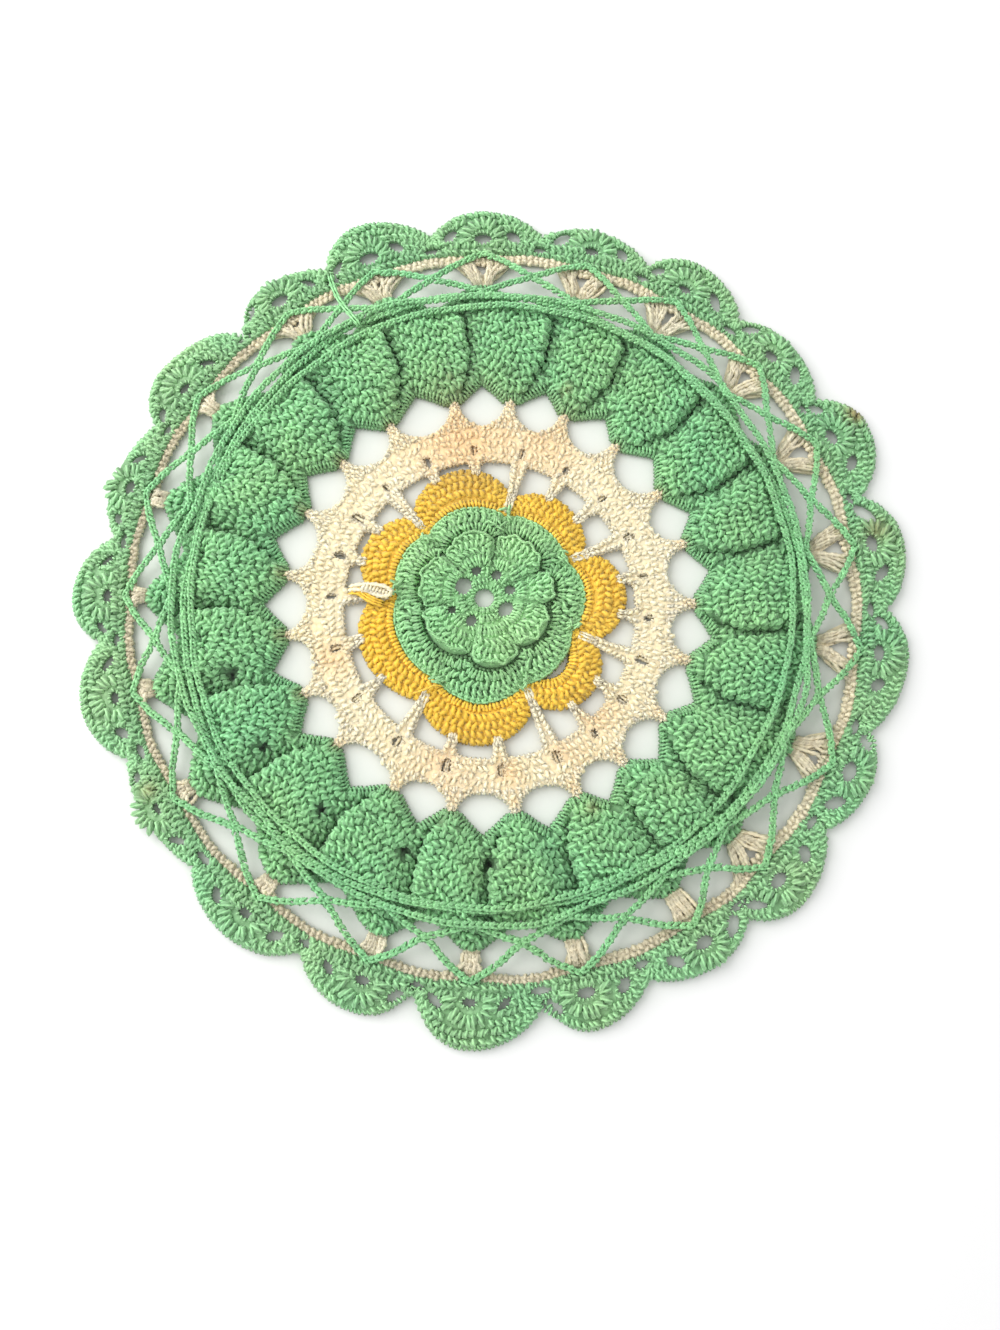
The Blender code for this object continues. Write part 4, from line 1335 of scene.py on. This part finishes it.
steps = np.arange(COUNT * 16) / 16.0
outer_loop = border_place(steps, 1.0)
root_loop = border_place(steps, 0.0)
shell_gaps, shell_clearings, shell_middles, posts, facings = [], [], [], [], []
for section in SECTIONS:
    shell = section.shell
    out = spot(shell, 1.0)
    along = np.array([out[1], -out[0], 0.0])
    middle = spot(shell, float(shell_root(shell)) + SHELL_EYE)
    shell_middles.append(middle)
    tight = 0.8 if TIGHT_SHELLS[0] < shell < TIGHT_SHELLS[1] else 1.0
    grown = hand.uniform(0.8, 1.15) * tight
    open_gap(middle, 2.9 * grown, 1.9 * grown, shell, wider=0.4)
    for side in (-1.0, 1.0):
        place = middle + along * side * hand.uniform(8.8, 10.4) + out * hand.uniform(-0.4, 1.6)
        big = shell == BIG_SLIT and side < 0.0
        long = 4.4 if big else hand.uniform(2.6, 3.8) * tight
        deep = 2.1 if big else hand.uniform(1.4, 2.1) * tight
        open_gap(place, long, deep, shell + side * 45.0)
    for turn in np.linspace(-98.0, 98.0, POSTS) + hand.normal(0.0, 2.5, POSTS):
        facings.append(spot(shell + turn, 1.0))
        posts.append(middle + facings[-1] * (FAN_REACH - 2.3 + hand.uniform(-0.3, 0.4)))
    # The shells part a little from the arcs where two of them meet
    place = spot(section.valley, float(shell_root(section.valley)) + 2.0)
    open_gap(place, hand.uniform(2.0, 3.2), 1.3, section.valley)
border_cotton = cotton("border_cotton", BORDER_GREEN, (0.47, 0.78, 0.38))
border_cloth = cloth(
    "border_cloth", [outer_loop, root_loop, *shell_gaps], border_height,
    list(border_place(steps[::2], 0.5)), 1.4, border_cotton, sink=0.2, tone=0.66)
posts = np.array(posts)
posts[:, 2] = POST_HEIGHT
facings = np.array(facings)
up = upright(len(posts))
edging = [
    stamp(TALL, Seats(posts, np.cross(facings, up), facings, up), long=1.9),
    edged(outer_loop, level(1.8), 1.25, sway=22.0),
    edged(root_loop, level(1.8), 1.25, inward=True, sway=18.0, tone=0.9),
]
rows = []
shell_middles = np.array(shell_middles)
for k, share in enumerate(BORDER_ROWS):
    across = row_of(border_place, share, 1.72, span=(0.0, COUNT), uneven=0.25)
    at = seats(border_place, across, share + hand.uniform(-0.02, 0.02, len(across)))
    at = only(at, clear_of(at, shell_clearings))
    away = at.here[:, None, :2] - shell_middles[None, :, :2]
    distance = np.linalg.norm(away, axis=-1)
    nearest = distance.argmin(axis=1)
    distance = distance.min(axis=1)
    outwards = (away[np.arange(len(distance)), nearest] * spot(SHELLS[nearest], 1.0)[:, :2]).sum(-1)
    at = only(at, (distance > FAN_REACH) | (outwards / distance < -0.15))
    rows.append(stamp(
        LUMP, at, long=0.8, lean=26.0 * (-1) ** k, sway=16.0, tone=0.88 + 0.14 * share, thick=0.9))
edging += [edged(gap, border_height, 1.15, inward=True, long=0.6, thick=0.8) for gap in shell_gaps]
border_stitches = crochet("border_stitches", rows, border_cotton)
border_edging = crochet("border_edging", edging, border_cotton)
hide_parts("scallop_border")


# ---- Chain net ----
# A net of green chains for the face: it hangs from the shells, is knotted halfway, and is drawn
# in to a ring of chains that lies over the outer half of the leaves.

NET_RING = Edge(87.3, 2.2, 62.0)        # middle of the ring
NET_KNOT = Edge(95.5, 2.6, 45.0)        # where the net's chains are knotted
RING_WIDTH = 5.6
RING_HEIGHT = 5.2            # underside of the ring, where it crosses the leaves
NODE_HEIGHT = 2.1            # underside where a mesh hangs on its shell
NODE_OVERLAP = 1.0           # how far it lies over the shell
CHAIN_HALF = 0.6             # from a chain's underside to its middle

# Three chains make the ring, each swinging to and fro across it
RingChain = namedtuple("RingChain", "mid swing waves turned lift")
RING_CHAINS = (
    RingChain(-2.1, 0.8, 2, 0.4, 0.2), RingChain(0.1, 1.7, 3, 2.2, -0.2), RingChain(2.1, 1.0, 5, 4.1, 0.5),
)


def net_height(points):
    """Underside of the net: high over the leaves, low where it hangs on the shells."""
    bearing, radius = polar(points)
    low = edge_at(NET_RING, bearing) + RING_WIDTH / 2.0
    high = edge_at(SHELL_ROOT, bearing) + NODE_OVERLAP
    fall = np.clip((radius - low) / (high - low), 0.0, 1.0)
    return RING_HEIGHT + (NODE_HEIGHT - RING_HEIGHT) * fall


def laid(points, lift=0.0):
    """Put a route on the net's height."""
    points = np.array(points, dtype=float)
    points[:, 2] = net_height(points) + CHAIN_HALF + lift
    return points


Place = namedtuple("Place", "bearing radius")


def knotted(start, stop, tie, held, share, bow):
    """A chain from one place to another that is knotted halfway, held off the knot and a little bowed."""
    knot = (start.bearing + stop.bearing) / 2.0

    def near(end):
        radius = end.radius * share + tie * (1.0 - share) + bow
        return spot(end.bearing * 0.55 + knot * 0.45, radius)

    points = [spot(*start), near(start), spot(knot - 0.7, tie + held), spot(knot + 0.7, tie + held)]
    return chain_along(laid(smooth_route([*points, near(stop), spot(*stop)])))


ring_seats = []
for chain in RING_CHAINS:
    bearing = np.linspace(0.0, TURN, 420)
    wander = chain.mid + chain.swing * np.sin(np.radians(bearing * chain.waves) + chain.turned)
    for waves in (7, 11, 17, 23):
        swing = hand.uniform(0.1, 0.35)
        wander = wander + swing * np.sin(np.radians(bearing * waves) + hand.uniform(0.0, 6.3))
    lift = chain.lift + 0.35 * np.sin(np.radians(bearing * 7) + chain.turned)
    points = spot(bearing, edge_at(NET_RING, bearing) + wander)
    points[-1] = points[0]
    ring_seats.append(chain_along(laid(points, lift)))
mesh_seats = []
for pair in zip(SHELLS, around(SHELLS)[1:]):
    tie = float(edge_at(NET_KNOT, sum(pair) / 2.0))
    hangs = [Place(shell, float(edge_at(SHELL_ROOT, shell)) + NODE_OVERLAP - 0.7) for shell in pair]
    feet = [Place(shell, float(edge_at(NET_RING, shell)) + RING_WIDTH / 2.0 - 0.3) for shell in pair]
    mesh_seats.append(knotted(*hangs, tie, held=0.85, share=0.55, bow=0.3))
    mesh_seats.append(knotted(*feet, tie, held=-0.6, share=0.5, bow=-0.3))

# Two pale strands join the net to the edge at the upper left
JOIN = (
    spot(334.8, 110.6, 2.9), spot(334.4, 105.0, 3.6), spot(334.3, 99.0, 5.2), spot(335.0, 91.0, 7.6),
    spot(335.4, 87.6, 7.2),
)
join = strands([beside(JOIN, offset) for offset in (-0.4, 0.4)], 0.46, steps=12, tone=1.35)
# The net's chains are painted lighter than the leaves: a painted highlight on the raised chains
ring_chains = stamp(CHAIN, joined(ring_seats), wide=1.3, sway=9.0, tone=1.14, thick=1.2)
net_ring = crochet("net_ring", [ring_chains], green_cotton)
mesh_chains = stamp(CHAIN, joined(mesh_seats), wide=1.3, sway=9.0, tone=1.18, thick=1.24)
net_meshes = crochet("net_meshes", [mesh_chains, join], green_cotton)
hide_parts("chain_net")
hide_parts("chain_net")


# ---- Floor ----
# A plain pale floor under the doily, painted a little duller within its round than round it: painted shade.

FLOOR_HALF = 2.0
FLOOR_PAINTED_SHADE = (0.65, 0.67, 0.63)
FLOOR_ROUND = (0.73, 0.73, 0.73)
PAINTED_SHADE_TO = 0.100             # the painted shade begins to fade at this radius
ROUND_FROM = 0.125           # and has gone at this one

floor_mesh = bpy.data.meshes.new("floor")
corners = [(x * FLOOR_HALF, y * FLOOR_HALF, 0.0) for x, y in ((-1, -1), (1, -1), (1, 1), (-1, 1))]
floor_mesh.from_pydata(corners, [], [(0, 1, 2, 3)])
white = bpy.data.materials.new("floor_white")
white.use_nodes = True
nodes = white.node_tree.nodes
links = white.node_tree.links
nodes["Principled BSDF"].inputs["Roughness"].default_value = 0.9
place = nodes.new("ShaderNodeTexCoord")
reach = nodes.new("ShaderNodeVectorMath")
reach.operation = "LENGTH"
links.new(place.outputs["Object"], reach.inputs[0])
fade = nodes.new("ShaderNodeMapRange")
fade.interpolation_type = "SMOOTHSTEP"
fade.inputs["From Min"].default_value = PAINTED_SHADE_TO
fade.inputs["From Max"].default_value = ROUND_FROM
links.new(reach.outputs["Value"], fade.inputs["Value"])
painted_shade_mix = nodes.new("ShaderNodeMix")
painted_shade_mix.data_type = "RGBA"
painted_shade_mix.inputs["A"].default_value = (*FLOOR_PAINTED_SHADE, 1.0)
painted_shade_mix.inputs["B"].default_value = (*FLOOR_ROUND, 1.0)
links.new(fade.outputs["Result"], painted_shade_mix.inputs["Factor"])
links.new(painted_shade_mix.outputs["Result"], nodes["Principled BSDF"].inputs["Base Color"])
floor_mesh.materials.append(white)
floor = bpy.data.objects.new("floor", floor_mesh)
bpy.context.scene.collection.objects.link(floor)


# ---- Light ----
# The soft light of a studio: white all round, and a square window at the upper left.

WINDOW = (-0.50, 0.22, 0.46)
WINDOW_SIDE = 0.7
WINDOW_POWER = 5.6
SKY = 1.02

world = bpy.data.worlds.new("studio")
world.use_nodes = True
world.node_tree.nodes["Background"].inputs["Color"].default_value = (1.0, 1.0, 1.0, 1.0)
world.node_tree.nodes["Background"].inputs["Strength"].default_value = SKY
bpy.context.scene.world = world
window = bpy.data.lights.new("window", "AREA")
window.shape = "SQUARE"
window.size = WINDOW_SIDE
window.energy = WINDOW_POWER
lamp = bpy.data.objects.new("window", window)
lamp.location = WINDOW
lamp.rotation_euler = (-Vector(WINDOW)).to_track_quat("-Z", "Y").to_euler()
bpy.context.scene.collection.objects.link(lamp)


# ---- Camera ----
# It looks down on the doily from just below, as the photographer did.

TILT = np.radians(12.0)
DISTANCE = 0.312
AIM = (0.00262, -0.01907)
SENSOR = 36.0
FRAME_HEIGHT = 1330.0        # pixels
FOCAL = 1116.0               # focal length in the same pixels

lens = bpy.data.cameras.new("camera")
lens.sensor_fit = "VERTICAL"
lens.sensor_height = SENSOR
lens.lens = SENSOR * FOCAL / FRAME_HEIGHT
camera = bpy.data.objects.new("camera", lens)
camera.location = (AIM[0], AIM[1] - DISTANCE * np.sin(TILT), DISTANCE * np.cos(TILT))
camera.rotation_euler = (TILT, 0.0, 0.0)
bpy.context.scene.collection.objects.link(camera)
bpy.context.scene.camera = camera
bpy.context.scene.view_settings.view_transform = "Standard"
